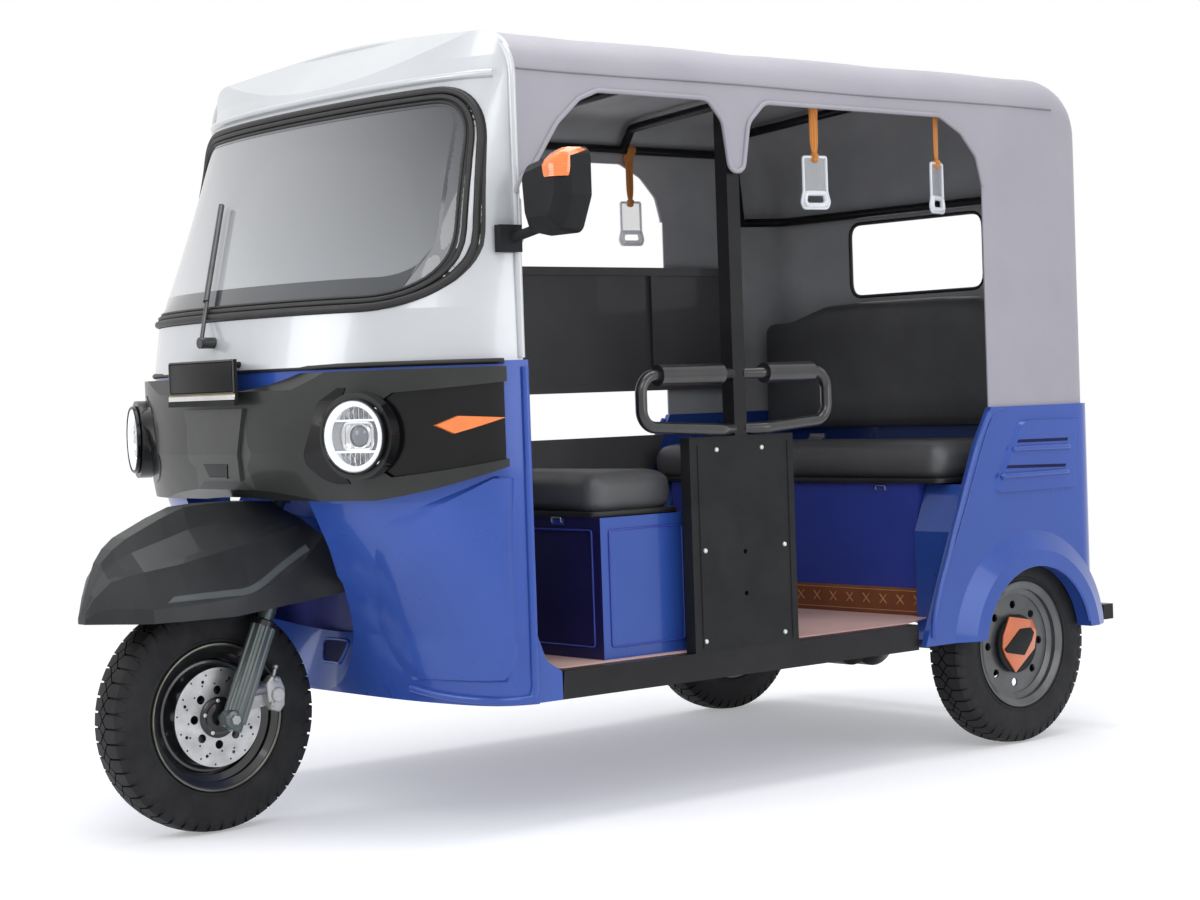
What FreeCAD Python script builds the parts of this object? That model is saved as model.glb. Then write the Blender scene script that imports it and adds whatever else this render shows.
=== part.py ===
import FreeCAD, Part
import Sketcher
import math
import os
import re
from types import SimpleNamespace

# Electric auto rickshaw with one steered front wheel and two rear wheels.
# Frame: +Z up, front towards -Y, +X is the vehicle's left, origin under the middle of its box.
# Every outline is drawn with Y counted from the front axle; the placements move it to the frame.

os.makedirs("parts", exist_ok=True)
Vector = FreeCAD.Vector

SIZES = {
    # Overall
    "wheelbase": 2140,
    "front_reach": 305,
    "tail_reach": 420,
    "track_half": 562,
    "side_half": 620,
    "body_half": 645,
    # Steering: axis leaning back through a point near the front axle
    "rake_angle": 23,
    "axis_behind": 15,
    "fork_half": 95,
    "slider_radius": 27,
    "slider_length": 250,
    "stanchion_radius": 20,
    "stem_radius": 15,
    "yoke_low": 375,
    "yoke_thick": 26,
    "yoke_depth": 60,
    "stem_top": 800,
    "head_low": 545,
    "head_high": 765,
    "head_radius": 27,
    "fork_pin_radius": 9,
    "running_fit": 0.08,
    "bar_radius": 11,
    "grip_radius": 16,
    "grip_length": 125,
    "bar_half": 340,
    "bar_rise": 75,
    "bar_back": 75,
    # Wheels
    "tyre_radius": 265,
    "tyre_half": 54,
    "bead_radius": 153,
    "rim_half": 50,
    "flange_radius": 167,
    "rim_wall": 5,
    "well_radius": 138,
    "hub_radius": 38,
    "disc_radius": 113,
    "disc_thick": 4,
    "disc_place": 50,
    "nave_hole_radius": 11,
    "nave_hole_ring": 104,
    "rear_dish": 16,
    "cap_radius": 78,
    "cap_depth": 16,
    "spindle_radius": 18,
    "hub_half": 62,
    "hub_stand": 14,
    "fender_rear": 328,
    "fender_crown": 174,
    "fender_lift": 37,
    "fender_low": 500,
    "fender_top": 751,
    "fender_half": 165,
    "fender_wall": 4,
    "disc_gap": 5,
    "caliper_cheek": 9,
    "caliper_deep": 34,
    "caliper_over": 16,
    "caliper_angle": 28,
    "caliper_spread": 21,
    "caliper_lug": 62,
    # Chassis and floor
    "board_centre": 1128,
    "strut_half": 60,
    "strut_radius": 16,
    "running_gap": 5,
    "strut_lean": 48,
    "strut_knee": 730,
    "floor_top": 352,
    "floor_thick": 5,
    "rail_inner": 290,
    "rail_width": 50,
    "rail_depth": 56,
    "rail_kick": 130,
    "frame_front": 480,
    "frame_tail": 255,
    "kick_ahead": 247,
    "kick_run": 82,
    "cross_width": 60,
    "sill_width": 55,
    "sill_bottom": 288,
    "sill_front": 552,
    "sill_gap": 4,
    "sill_step": 6,
    # Cab
    "wall": 20,
    "cab_rear": 465,
    "apron_bottom": 290,
    "seam_height": 1051,
    "nose_y": 70,
    "well_roof": 768,
    "well_half": 268,
    "glass_low": 1192,
    "glass_high": 1640,
    "glass_thick": 5,
    "seal_width": 34,
    "seal_stand": 9,
    "panel_low": 779,
    "panel_stand": 26,
    "lamp_x": 468,
    "lamp_z": 896,
    "lamp_radius": 83,
    "nose_low": 318,
    "well_shoulder": 350,
    "well_mid": 215,
    "well_waist": 425,
    "well_neck": 140,
    "well_crown": 525,
    "toe_length": 87,
    "toe_height": 230,
    "panel_dip": 754,
    "panel_tail": 819,
    "panel_high": 1038,
    "panel_notch": 1002,
    "panel_stop": 70,
    "lamp_y": 138,
    "lamp_angle": 20,
    "lamp_front": 34,
    "lamp_rim": 9,
    "lamp_deep": 62,
    "lamp_can": 66,
    "lamp_collar": 12,
    "eye_half": 92,
    "eye_deep": 11,
    "field_half": 128,
    "field_stand": 8,
    "signal_front": 250,
    "signal_z": 914,
    "signal_tall": 42,
    "signal_rise": 12,
    "signal_stop": 4,
    "signal_stand": 9,
    "plate_low": 984,
    "plate_high": 1076,
    "cab_front": 60,
    "cab_lean": 432,
    "cab_half": 627,
    "cab_rise": 28,
    "brow_y": 343,
    "brow_z": 1690,
    "glass_half_low": 583,
    "glass_half_high": 560,
    "glass_round_low": 140,
    "glass_round_high": 105,
    "seal_lap": 8,
    # Canopy
    "roof_slope": 4.5,
    "crown_radius": 3000,
    "eave_radius": 100,
    "hood_tail": 302,
    "canopy_half": 632,
    "canopy_top": 1820,
    "canopy_skin": 12,
    "quarter_top": 901,
    "corner_radius": 80,
    "corner_round": 150,
    "panel_half": 640,
    "panel_skin": 18,
    "panel_step": 10,
    "door_front": 458,
    "door_low": 1440,
    "door_top": 1656,
    "door_slant": 240,
    "gusset_low": 1489,
    "gusset_half": 62,
    "door_run": 279,
    "rear_slant": 160,
    "back_window_half": 262,
    "back_window_low": 1235,
    "back_window_high": 1455,
    "back_window_round": 45,
    # Roof tubes, boards and armrests
    "roof_tube": 13,
    "roof_tube_gap": 2,
    "pillar_width": 40,
    "board_half": 170,
    "board_top": 860,
    "board_thick": 32,
    "board_hole": 6,
    "board_hole_high": 582,
    "board_hole_low": 482,
    "arm_radius": 14,
    "arm_pad_radius": 25,
    "arm_low": 876,
    "arm_high": 1008,
    "arm_front": 806,
    "arm_rear": 1410,
    "arm_bend": 52,
    "arm_side": 628,
    # Right side
    "side_panel_low": 975,
    "side_panel_high": 1342,
    "side_panel_tail": 115,
    "side_panel_thick": 14,
    "side_wall_top": 842,
    "side_rail": 24,
    # Rear body
    "foot_ahead": 408,
    "quarter_low": 296,
    "knee_run": 106,
    "quarter_knee_z": 550,
    "hip_run": 219,
    "quarter_hip_z": 806,
    "arch_shift": 10,
    "arch_z": 262,
    "arch_radius": 216,
    "flare_width": 92,
    "flare_stand": 30,
    "house_half": 494,
    "tyre_room": 13,
    "house_drop": 4,
    "house_skin": 3,
    "tail_half": 522,
    "tail_low": 425,
    "tail_lamp_x": 455,
    "tail_lamp_low": 690,
    "tail_lamp_high": 860,
    "tail_lamp_half": 34,
    "tail_lamp_stand": 16,
    "bumper_half": 590,
    "bumper_size": 42,
    "bumper_low": 296,
    # Axle and springs
    "axle_tube": 32,
        "diff_radius": 92,
    "diff_half": 70,
    "drum_radius": 100,
    "drum_width": 42,
    "drum_gap": 6,
    "motor_radius": 70,
    "motor_length": 210,
    "motor_ahead": 165,
    "spring_x": 398,
    "spring_width": 44,
    "spring_thick": 22,
    "spring_reach": 205,
    "spring_sag": 47,
    "spring_eye": 15,
    # Seats
    "seat_front": 727,
    "seat_rear": 1000,
    "seat_half": 560,
    "seat_box_top": 684,
    "seat_wall": 8,
    "seat_cushion": 105,
    "bench_ahead": 255,
    "bench_deep": 445,
    "bench_half": 484,
    "bench_top": 706,
    "bench_cushion": 110,
    "bench_low": 500,
    "bench_wide": 583,
    "cushion_round": 45,
    "hinge_radius": 5.5,
    "hinge_reach": 8,
    "hinge_length": 60,
    "hinge_side": 300,
    "hinge_drop": 4,
    "back_lift": 12,
    "back_wide": 570,
    "back_low": 1175,
    "back_high": 1228,
    "battery_half": 330,
    "battery_length": 300,
    "battery_height": 165,
    # Straps, plate, mirrors, wiper and dashboard
        "strap_drop": 145,
    "strap_width": 30,
    "strap_thick": 2,
    "strap_front": 1419,
    "strap_back": 133,
    "handle_half": 38,
    "handle_tall": 128,
    "handle_thick": 8,
    "plate_half": 146,
    "plate_front": 22,
    "plate_thick": 5,
    "plate_strip": 12,
    "plate_middle": 1030,
    "plate_hole": 3.5,
    "plate_hole_x": 105,
    "mirror_clamp": 60,
    "mirror_x": 770,
    "mirror_y": 470,
    "mirror_z": 1318,
    "mirror_rise": 24,
    "mirror_arm": 11,
    "mirror_half": 88,
    "mirror_tall": 192,
    "mirror_deep": 62,
    "mirror_round": 26,
    "wiper_x": 30,
    "wiper_z": 1118,
    "wiper_tip_x": 150,
    "wiper_tip_z": 1335,
    "wiper_boss": 13,
    "wiper_arm": 5,
    "wiper_blade": 300,
    "dash_deep": 80,
    "dash_rear": 262,
    "dash_rise": 55,
    "dash_half": 150,
    "soft_gap": 0.3,
}
# Places that follow other sizes
PLACES = {
    "rear_reach": "wheelbase + tail_reach",
    "frame_rear": "wheelbase + frame_tail",
    "kick_start": "wheelbase - kick_ahead",
    "kick_end": "kick_start + kick_run",
    "quarter_foot": "wheelbase - foot_ahead",
    "sill_rear": "quarter_foot - sill_gap",
    "quarter_knee": "quarter_foot + knee_run",
    "quarter_hip": "quarter_foot + hip_run",
    "door_rear": "quarter_foot + door_run",
    "arch_y": "wheelbase + arch_shift",
    "canopy_rear": "wheelbase + hood_tail",
    "panel_rear": "canopy_rear + panel_step",
    "side_panel_rear": "wheelbase + side_panel_tail",
    "bench_front": "wheelbase - bench_ahead",
    "bench_rear": "bench_front + bench_deep",
    "strap_rear": "quarter_foot + strap_back",
    "house_front": "wheelbase - tyre_radius - tyre_room",
    "house_top": "bench_top - house_drop",
    "cab_peak": "canopy_top + cab_rise",
}

doc = FreeCAD.newDocument("auto_rickshaw")
sheet = doc.addObject("Spreadsheet::Sheet", "Sizes")
formulas = {name: "=" + formula for name, formula in PLACES.items()}
for row, (name, value) in enumerate({**SIZES, **formulas}.items(), 1):
    sheet.set(f"A{row}", name)
    sheet.set(f"B{row}", str(value))
    sheet.setAlias(f"B{row}", name)
doc.recompute()
S = SimpleNamespace(**{name: float(sheet.get(name)) for name in (*SIZES, *PLACES)})
CENTRE_X = "(Sizes.panel_half + Sizes.flare_stand - Sizes.mirror_x - Sizes.mirror_half) / 2"
AXLE_Y = "(Sizes.front_reach - Sizes.rear_reach) / 2"
OVERRUN = S.wall * 5
parts = []


def bound(text):
    """An expression in which every size name points at the sheet."""
    pick = lambda word: "Sizes." + word.group() if word.group() in SIZES or word.group() in PLACES else word.group()
    return re.sub(r"[a-z][a-z0-9_]*", pick, text)


def amount(text):
    return float(sheet.evalExpression(bound(text)))


def place(item):
    item.setExpression("Placement.Base.x", CENTRE_X)
    item.setExpression("Placement.Base.y", AXLE_Y)
    parts.append(item)
    return item


def new_body(name):
    body = doc.addObject("PartDesign::Body", name)
    body.Label = name
    return place(body)


def computed(name, shape):
    """A sub-part whose shape is worked out from the sheet's values."""
    item = doc.addObject("Part::Feature", name)
    item.Label = name
    item.Shape = shape
    return place(item)


def new_sketch(body, name, plane, along="0", shift=("0", "0")):
    """Sketch on one of the body's origin planes, moved along its normal and within it."""
    sketch = body.newObject("Sketcher::SketchObject", name)
    support = next(item for item in body.Origin.OriginFeatures if item.Role == plane + "_Plane")
    sketch.AttachmentSupport = [(support, "")]
    sketch.MapMode = "FlatFace"
    for axis, text in zip("xyz", (*shift, along)):
        sketch.setExpression(f"AttachmentOffset.Base.{axis}", bound(text))
    return sketch


def add_loop(sketch, points):
    """Closed outline whose corners are held by two distances each, bound to the sheet."""
    first = sketch.GeometryCount
    spots = [Vector(amount(u), amount(v), 0) for u, v in points]
    count = len(points)
    for index in range(count):
        sketch.addGeometry(Part.LineSegment(spots[index], spots[(index + 1) % count]), False)
    for index in range(count):
        joint = (first + index, 2, first + (index + 1) % count, 1)
        sketch.addConstraint(Sketcher.Constraint("Coincident", *joint))
    for index, (u, v) in enumerate(points):
        for kind, text, value in (("DistanceX", u, spots[index].x), ("DistanceY", v, spots[index].y)):
            number = sketch.addConstraint(Sketcher.Constraint(kind, -1, 1, first + index, 1, value))
            sketch.setExpression(f"Constraints[{number}]", bound(text))


def add_box(sketch, low_u, high_u, low_v, high_v):
    add_loop(sketch, [(low_u, low_v), (high_u, low_v), (high_u, high_v), (low_u, high_v)])


def add_circle(sketch, u, v, radius):
    number = sketch.addGeometry(Part.Circle(Vector(amount(u), amount(v), 0), Vector(0, 0, 1), amount(radius)), False)
    for kind, text in (("DistanceX", u), ("DistanceY", v)):
        held = sketch.addConstraint(Sketcher.Constraint(kind, -1, 1, number, 3, amount(text)))
        sketch.setExpression(f"Constraints[{held}]", bound(text))
    held = sketch.addConstraint(Sketcher.Constraint("Radius", number, amount(radius)))
    sketch.setExpression(f"Constraints[{held}]", bound(radius))


def add_feature(body, kind, sketch, length=None, backwards=False, middle=False):
    feature = body.newObject("PartDesign::" + kind, sketch.Name + "_" + kind.lower())
    feature.Profile = sketch
    if length is None:
        feature.ReferenceAxis = (sketch, ["H_Axis"])
        feature.Angle = 360
    else:
        feature.setExpression("Length", bound(length))
        feature.SideType = "Symmetric" if middle else "One side"
        feature.Reversed = backwards
    return feature


def round_edges(body, name, radius, chosen):
    """Fillet on the edges of the body's tip that the test picks."""
    doc.recompute()
    tip = body.Tip
    edges = [f"Edge{index}" for index, edge in enumerate(tip.Shape.Edges, 1) if chosen(edge)]
    fillet = body.newObject("PartDesign::Fillet", name)
    fillet.Base = (tip, edges)
    fillet.setExpression("Radius", bound(radius))
    return fillet


def upright(edge):
    return len(edge.Vertexes) == 2 and abs(edge.tangentAt(edge.FirstParameter).z) > 1 - 1e-6


def polygon(points):
    return Part.makePolygon([*points, points[0]])


def prism(points, sweep):
    return Part.Face(polygon(points)).extrude(sweep)


def prism_x(points, low, high):
    """Prism along X from an outline of (Y, Z) points."""
    return prism([Vector(low, y, z) for y, z in points], Vector(high - low, 0, 0))


def prism_y(points, low, high):
    """Prism along Y from an outline of (X, Z) points."""
    return prism([Vector(x, low, z) for x, z in points], Vector(0, high - low, 0))


def prism_z(points, low, high):
    """Prism along Z from an outline of (X, Y) points."""
    return prism([Vector(x, y, low) for x, y in points], Vector(0, 0, high - low))


def block(low, high):
    """Box between two corners."""
    size = Vector(*high) - Vector(*low)
    return Part.makeBox(size.x, size.y, size.z, Vector(*low))


def rod(start, end, radius):
    run = Vector(*end) - Vector(*start)
    return Part.makeCylinder(radius, run.Length, Vector(*start), run)


def mirrored(shape):
    """The same shape on the vehicle's other side."""
    return shape.mirror(Vector(0, 0, 0), Vector(1, 0, 0))


def both_sides(shape):
    return Part.makeCompound([shape, mirrored(shape)])


def fused(shapes):
    return shapes[0].multiFuse(shapes[1:]).removeSplitter()


def rounded(points, radii):
    """Closed wire through the points, each corner with an arc of its own radius."""
    count = len(points)
    ends = []
    for index, point in enumerate(points):
        back = (points[index - 1] - point).normalize()
        ahead = (points[(index + 1) % count] - point).normalize()
        half_turn = back.getAngle(ahead) / 2
        reach = radii[index] / math.tan(half_turn)
        middle = (back + ahead).normalize() * (radii[index] / math.sin(half_turn) - radii[index])
        ends.append((point + back * reach, point + middle, point + ahead * reach))
    edges = []
    for index in range(count):
        edges.append(Part.Arc(*ends[index]).toShape())
        edges.append(Part.LineSegment(ends[index][2], ends[(index + 1) % count][0]).toShape())
    return Part.Wire(edges)


def tube(points, radius, bend):
    """Round bar along straight runs that tangent arcs join."""
    spots = [Vector(*point) for point in points]
    edges = []
    start = spots[0]
    for before, corner, after in zip(spots, spots[1:], spots[2:]):
        back = (before - corner).normalize()
        ahead = (after - corner).normalize()
        half_turn = back.getAngle(ahead) / 2
        reach = bend / math.tan(half_turn)
        middle = (back + ahead).normalize() * (bend / math.sin(half_turn) - bend)
        edges.append(Part.LineSegment(start, corner + back * reach).toShape())
        edges.append(Part.Arc(corner + back * reach, corner + middle, corner + ahead * reach).toShape())
        start = corner + ahead * reach
    edges.append(Part.LineSegment(start, spots[-1]).toShape())
    ring = Part.Wire(Part.makeCircle(radius, spots[0], spots[1] - spots[0]))
    return Part.Wire(edges).makePipeShell([ring], True, False)


RAKE = math.radians(S.rake_angle)
AXIS_UP = Vector(0, math.sin(RAKE), math.cos(RAKE))
AXIS_BACK = Vector(0, math.cos(RAKE), -math.sin(RAKE))
AXIS_FOOT = Vector(0, S.axis_behind, S.tyre_radius)


def steered(x, back, up):
    """Point at a side distance, a distance behind the steering axis and one along it."""
    return AXIS_FOOT + Vector(x, 0, 0) + AXIS_BACK * back + AXIS_UP * up


def steering_rod(x, back, low, high, radius):
    return rod(steered(x, back, low), steered(x, back, high), radius)


def frame_shape():
    """Two rails that kick up over the rear axle, cross members, and the steering head on its struts."""
    top = S.floor_top - S.floor_thick
    low = top - S.rail_depth
    kicked = low + S.rail_kick
    side = [
        (S.frame_front, low), (S.kick_start, low), (S.kick_end, kicked), (S.frame_rear, kicked),
        (S.frame_rear, kicked + S.rail_depth), (S.kick_end, kicked + S.rail_depth), (S.kick_start, top),
        (S.frame_front, top),
    ]
    rail = prism_x(side, S.rail_inner, S.rail_inner + S.rail_width)
    shapes = [rail, mirrored(rail)]
    starts = [
        (S.frame_front, low), (S.board_centre - S.cross_width / 2, low),
        (S.kick_start - S.cross_width, low), (S.frame_rear - S.cross_width, kicked),
    ]
    for start, floor in starts:
        shapes.append(block((-S.rail_inner, start, floor),
                            (S.rail_inner, start + S.cross_width, floor + S.rail_depth)))
    head = steering_rod(0, 0, S.head_low, S.head_high, S.head_radius)
    head_middle = steered(0, 0, (S.head_low + S.head_high) / 2 + S.head_radius)
    for x in (-S.strut_half, S.strut_half):
        foot = (x, S.frame_front + S.cross_width / 2, top - S.strut_radius)
        knee = (x, S.frame_front - S.strut_lean, S.strut_knee)
        shapes.append(rod(foot, knee, S.strut_radius))
        shapes.append(Part.makeSphere(S.strut_radius, Vector(*knee)))
        shapes.append(rod(knee, (x / 2, head_middle.y, head_middle.z), S.strut_radius))
    bore = steering_rod(0, 0, S.head_low - S.wall, S.head_high + S.wall, S.stem_radius + S.running_fit)
    return fused([*shapes, head]).cut(bore)


computed("chassis_frame", frame_shape())

floor = new_body("floor_pan")
sketch = new_sketch(floor, "floor_outline", "XY", "floor_top - floor_thick")
add_loop(sketch, [
    ("-(side_half - sill_width)", "cab_rear"), ("side_half - sill_width", "cab_rear"),
    ("side_half - sill_width", "sill_rear"), ("bench_half", "sill_rear"), ("bench_half", "bench_front"),
    ("-bench_half", "bench_front"), ("-bench_half", "sill_rear"), ("-(side_half - sill_width)", "sill_rear"),
])
add_feature(floor, "Pad", sketch, "floor_thick")
sketch = new_sketch(floor, "strut_holes", "XY", "floor_top - floor_thick")
for sign in ("", "-"):
    add_circle(sketch, f"{sign}strut_half", "frame_front + cross_width / 2", "strut_radius + running_gap")
add_feature(floor, "Pocket", sketch, "floor_thick", backwards=True)

sills = {}
for side, sign in (("left", ""), ("right", "-")):
    sills[side] = new_body("side_sill_" + side)
    start = "side_half - sill_width" if side == "left" else "-side_half"
    sketch = new_sketch(sills[side], f"sill_{side}_outline", "YZ", start)
    add_loop(sketch, [
        ("sill_front", "sill_bottom"), ("sill_rear", "sill_bottom"), ("sill_rear", "floor_top"),
        ("sill_front + sill_step", "floor_top"),
    ])
    add_feature(sills[side], "Pad", sketch, "sill_width")


def wheel_sketch(body, name, x, y):
    return new_sketch(body, name, "XY", "tyre_radius", (x, y))


TYRE_SHARES = [(0.98, 0.24), (1, 0.48), (0.95, 0.75), (0.8, 0.95)]


def add_tyre(name, x, y):
    body = new_body(name)
    sketch = wheel_sketch(body, name + "_section", x, y)
    half = [("rim_half - rim_wall * 1.6", "bead_radius"), ("rim_half - rim_wall", "flange_radius")]
    half += [(f"tyre_half * {u}", f"bead_radius + (tyre_radius - bead_radius) * {v}") for u, v in TYRE_SHARES]
    outline = [(f"-({u})", v) for u, v in half] + [("0", "tyre_radius")] + half[::-1]
    add_loop(sketch, outline)
    add_feature(body, "Revolution", sketch)
    return body


def add_rim(name, x, y, nave, hub_in, hub_out, bore):
    """Steel rim: flanged barrel with a dropped centre, nave plate and hub turned in one section."""
    body = new_body(name)
    sketch = wheel_sketch(body, name + "_section", x, y)
    bead_in = "rim_half - rim_wall * 1.6"
    barrel_in = "bead_radius - rim_wall"
    well_in = "well_radius - rim_wall"
    outline = [
        ("-rim_half", "flange_radius"), ("-rim_half + rim_wall", "flange_radius"), (f"-({bead_in})", "bead_radius"),
        ("-rim_half * 0.55", "bead_radius"), ("-rim_half * 0.42", "well_radius"), ("rim_half * 0.42", "well_radius"),
        ("rim_half * 0.55", "bead_radius"), (bead_in, "bead_radius"), ("rim_half - rim_wall", "flange_radius"),
        ("rim_half", "flange_radius"), ("rim_half", "flange_radius - rim_wall"), (bead_in, barrel_in),
        ("rim_half * 0.6", barrel_in), ("rim_half * 0.47", well_in), (f"{nave} + rim_wall", well_in),
        (f"{nave} + rim_wall", "hub_radius"), (hub_out, "hub_radius"), (hub_out, bore), (f"-({hub_in})", bore),
        (f"-({hub_in})", "hub_radius"), (nave, "hub_radius"), (nave, well_in), ("-rim_half * 0.47", well_in),
        ("-rim_half * 0.6", barrel_in), (f"-({bead_in})", barrel_in), ("-rim_half", "flange_radius - rim_wall"),
    ]
    add_loop(sketch, outline)
    add_feature(body, "Revolution", sketch)
    doc.recompute()
    holes = new_sketch(body, name + "_hole", "YZ", f"{x} + {nave} + rim_wall", (y, "tyre_radius"))
    add_circle(holes, "nave_hole_ring", "0", "nave_hole_radius")
    pocket = add_feature(body, "Pocket", holes, "rim_wall * 2")
    turned = body.newObject("PartDesign::PolarPattern", name + "_holes")
    turned.Originals = [pocket]
    turned.Axis = (sketch, ["H_Axis"])
    turned.Angle = 360
    turned.Occurrences = NAVE_HOLES
    body.Tip = turned
    return body


NAVE_HOLES = 8
add_tyre("front_tyre", "0", "0")
add_rim("front_rim", "0", "0", "0", "hub_half", "hub_half", "fork_pin_radius + running_fit")
for side, sign, nave in (("left", "", "rear_dish"), ("right", "-", "-rear_dish - rim_wall")):
    centre = f"{sign}track_half"
    add_tyre("rear_tyre_" + side, centre, "wheelbase")
    ends = ("hub_half", "rear_dish + hub_stand") if side == "left" else ("rear_dish + hub_stand", "hub_half")
    add_rim("rear_rim_" + side, centre, "wheelbase", nave, *ends, "spindle_radius + running_fit")
    cap = new_body("hub_cap_" + side)
    sketch = wheel_sketch(cap, f"cap_{side}_section", centre, "wheelbase")
    base = f"{sign}(rear_dish + hub_stand)"
    add_loop(sketch, [
        (base, "0"), (base, "cap_radius"), (f"{base} + {sign}cap_depth * 0.5", "cap_radius"),
        (f"{base} + {sign}cap_depth", "cap_radius * 0.72"), (f"{base} + {sign}cap_depth", "0"),
    ])
    add_feature(cap, "Revolution", sketch)

disc = new_body("brake_disc")
sketch = new_sketch(disc, "disc_ring", "YZ", "disc_place", ("0", "tyre_radius"))
add_circle(sketch, "0", "0", "disc_radius")
add_circle(sketch, "0", "0", "hub_radius")
add_feature(disc, "Pad", sketch, "disc_thick")
doc.recompute()
slots = new_sketch(disc, "disc_slot", "YZ", "disc_place + disc_thick", ("0", "tyre_radius"))
add_circle(slots, "disc_radius * 0.55", "0", "disc_radius * 0.09")
add_circle(slots, "disc_radius * 0.82 * 0.9", "disc_radius * 0.82 * 0.4", "disc_radius * 0.035")
pocket = add_feature(disc, "Pocket", slots, "disc_thick * 2")
turned = disc.newObject("PartDesign::PolarPattern", "disc_slots")
turned.Originals = [pocket]
turned.Axis = (slots, ["N_Axis"])
turned.Angle = 360
turned.Occurrences = 8
disc.Tip = turned


def fork_shape():
    """Two sliders on the wheel pin, stanchions, lower yoke and the stem through the steering head."""
    shapes = [rod((-S.fork_half - S.slider_radius, 0, S.tyre_radius),
                  (S.fork_half + S.slider_radius, 0, S.tyre_radius), S.fork_pin_radius)]
    for x in (-S.fork_half, S.fork_half):
        shapes.append(steering_rod(x, 0, -S.slider_radius, S.slider_length - S.slider_radius, S.slider_radius))
        shapes.append(steering_rod(x, 0, 0, S.yoke_low + S.yoke_thick * 1.4, S.stanchion_radius))
    reach = S.fork_half + S.slider_radius
    corners = [(-reach, -S.yoke_depth / 2), (reach, -S.yoke_depth / 2),
               (reach, S.yoke_depth / 2), (-reach, S.yoke_depth / 2)]
    yoke = prism([steered(x, back, S.yoke_low) for x, back in corners], AXIS_UP * S.yoke_thick)
    stem = steering_rod(0, 0, S.yoke_low, S.stem_top, S.stem_radius)
    return fused([*shapes, yoke, stem])


computed("fork", fork_shape())


def handlebar_shape():
    """Clamp on the stem's end, rising bar with swept ends, and two grips."""
    low = S.stem_top + S.bar_radius * 1.6
    high = low + S.bar_rise
    inner = S.bar_half * 0.27
    middle = S.bar_half * 0.58
    half = [(inner, 0, low), (middle, S.bar_back * 0.3, high), (S.bar_half, S.bar_back, high)]
    route = [(-x, back, up) for x, back, up in reversed(half)] + half
    spots = [steered(*point) for point in route]
    bar = tube(spots, S.bar_radius, S.bar_radius * 3)
    shapes = [bar, steering_rod(0, 0, S.stem_top, low + S.bar_radius * 1.5, S.stem_radius * 1.5)]
    for end, near in ((spots[0], spots[1]), (spots[-1], spots[-2])):
        run = (near - end).normalize()
        shapes.append(rod(end - run * S.bar_radius, end + run * S.grip_length, S.grip_radius))
    return fused(shapes)


computed("handlebar", handlebar_shape())

FENDER_SHARES = [
    # Place along the fender, its top, its half width, its upper crease and its lower crease
    (0, 0.1, 0.1, 0.9, 0.5), (0.027, 0.3, 0.24, 0.8, 0.36), (0.068, 0.53, 0.46, 0.74, 0.27),
    (0.109, 0.645, 0.71, 0.7, 0.21), (0.158, 0.735, 0.88, 0.66, 0.17), (0.292, 0.89, 0.94, 0.6, 0.15),
    (0.387, 0.98, 0.95, 0.6, 0.15), (0.487, 1, 0.96, 0.64, 0.17), (0.54, 1, 0.965, 0.67, 0.19),
    (0.662, 1, 0.98, 0.76, 0.29), (0.757, 0.985, 0.985, 0.83, 0.45), (0.851, 0.98, 0.99, 0.87, 0.68),
    (1.05, 0.97, 1, 0.87, 0.71),
]
CREASE_SHARES = [
    # Across the half width, and which crease sets the height there
    (0.985, 0, 1, 0), (0.74, 0.92, 0, 0), (0.65, 1, 0, 0), (0.36, 0.5, 0, 0.5), (0.22, 0, 0, 1),
]


def fender_section(y, top, half, upper, lower, inset, drop):
    low = S.fender_low
    side = [(half, low - drop)]
    for across, by_upper, by_lower, by_top in CREASE_SHARES:
        share = by_upper * upper + by_lower * lower + by_top
        side.append((half * across, low + (top - low) * share - inset))
    return polygon([Vector(x, y, z) for x, z in side] + [Vector(-x, y, z) for x, z in reversed(side)])


def fender_solid(inset, drop):
    """Creased mudguard from cross-sections, shrunk by a wall and lengthened downwards."""
    length = S.front_reach + S.fender_rear
    sections = []
    for along, high, wide, upper, lower in FENDER_SHARES:
        y = max(-S.front_reach + along * length, -S.front_reach + inset)
        top = S.fender_low + high * (S.fender_top - S.fender_low)
        sections.append(fender_section(y, top, wide * S.fender_half - inset, upper, lower, inset, drop))
    return Part.makeLoft(sections, True, True)


def fender_shape():
    """Open-backed mudguard with a flat tab on each side that reaches the end of the fork's yoke."""
    shell = fender_solid(0, 0).cut(fender_solid(S.fender_wall, S.wall))
    inside = fender_solid(S.fender_wall / 2, S.wall)
    reach = S.fork_half + S.slider_radius
    low = S.fender_low + S.fender_lift
    end = S.fender_rear + OVERRUN
    behind = prism_x([(S.fender_crown, S.fender_top), (S.fender_rear, low), (end, low), (end, S.fender_top + S.wall),
                      (S.fender_crown, S.fender_top + S.wall)], -OVERRUN * 2, OVERRUN * 2)
    under = prism_x([(-S.fender_wall, S.fender_low), (S.fender_rear, low), (end, low), (end, S.fender_low - OVERRUN),
                     (-S.fender_wall, S.fender_low - OVERRUN)], -OVERRUN * 2, OVERRUN * 2)
    shell = shell.cut(behind).cut(under)
    for sign in (-1, 1):
        corners = [(sign * reach, -S.stanchion_radius), (sign * S.fender_half, -S.stanchion_radius),
                   (sign * S.fender_half, S.stanchion_radius), (sign * reach, S.stanchion_radius)]
        tab = prism([steered(x, back, S.yoke_low) for x, back in corners], AXIS_UP * S.fender_wall)
        shell = shell.fuse(tab.common(inside))
    return shell


computed("front_fender", fender_shape())


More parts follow.
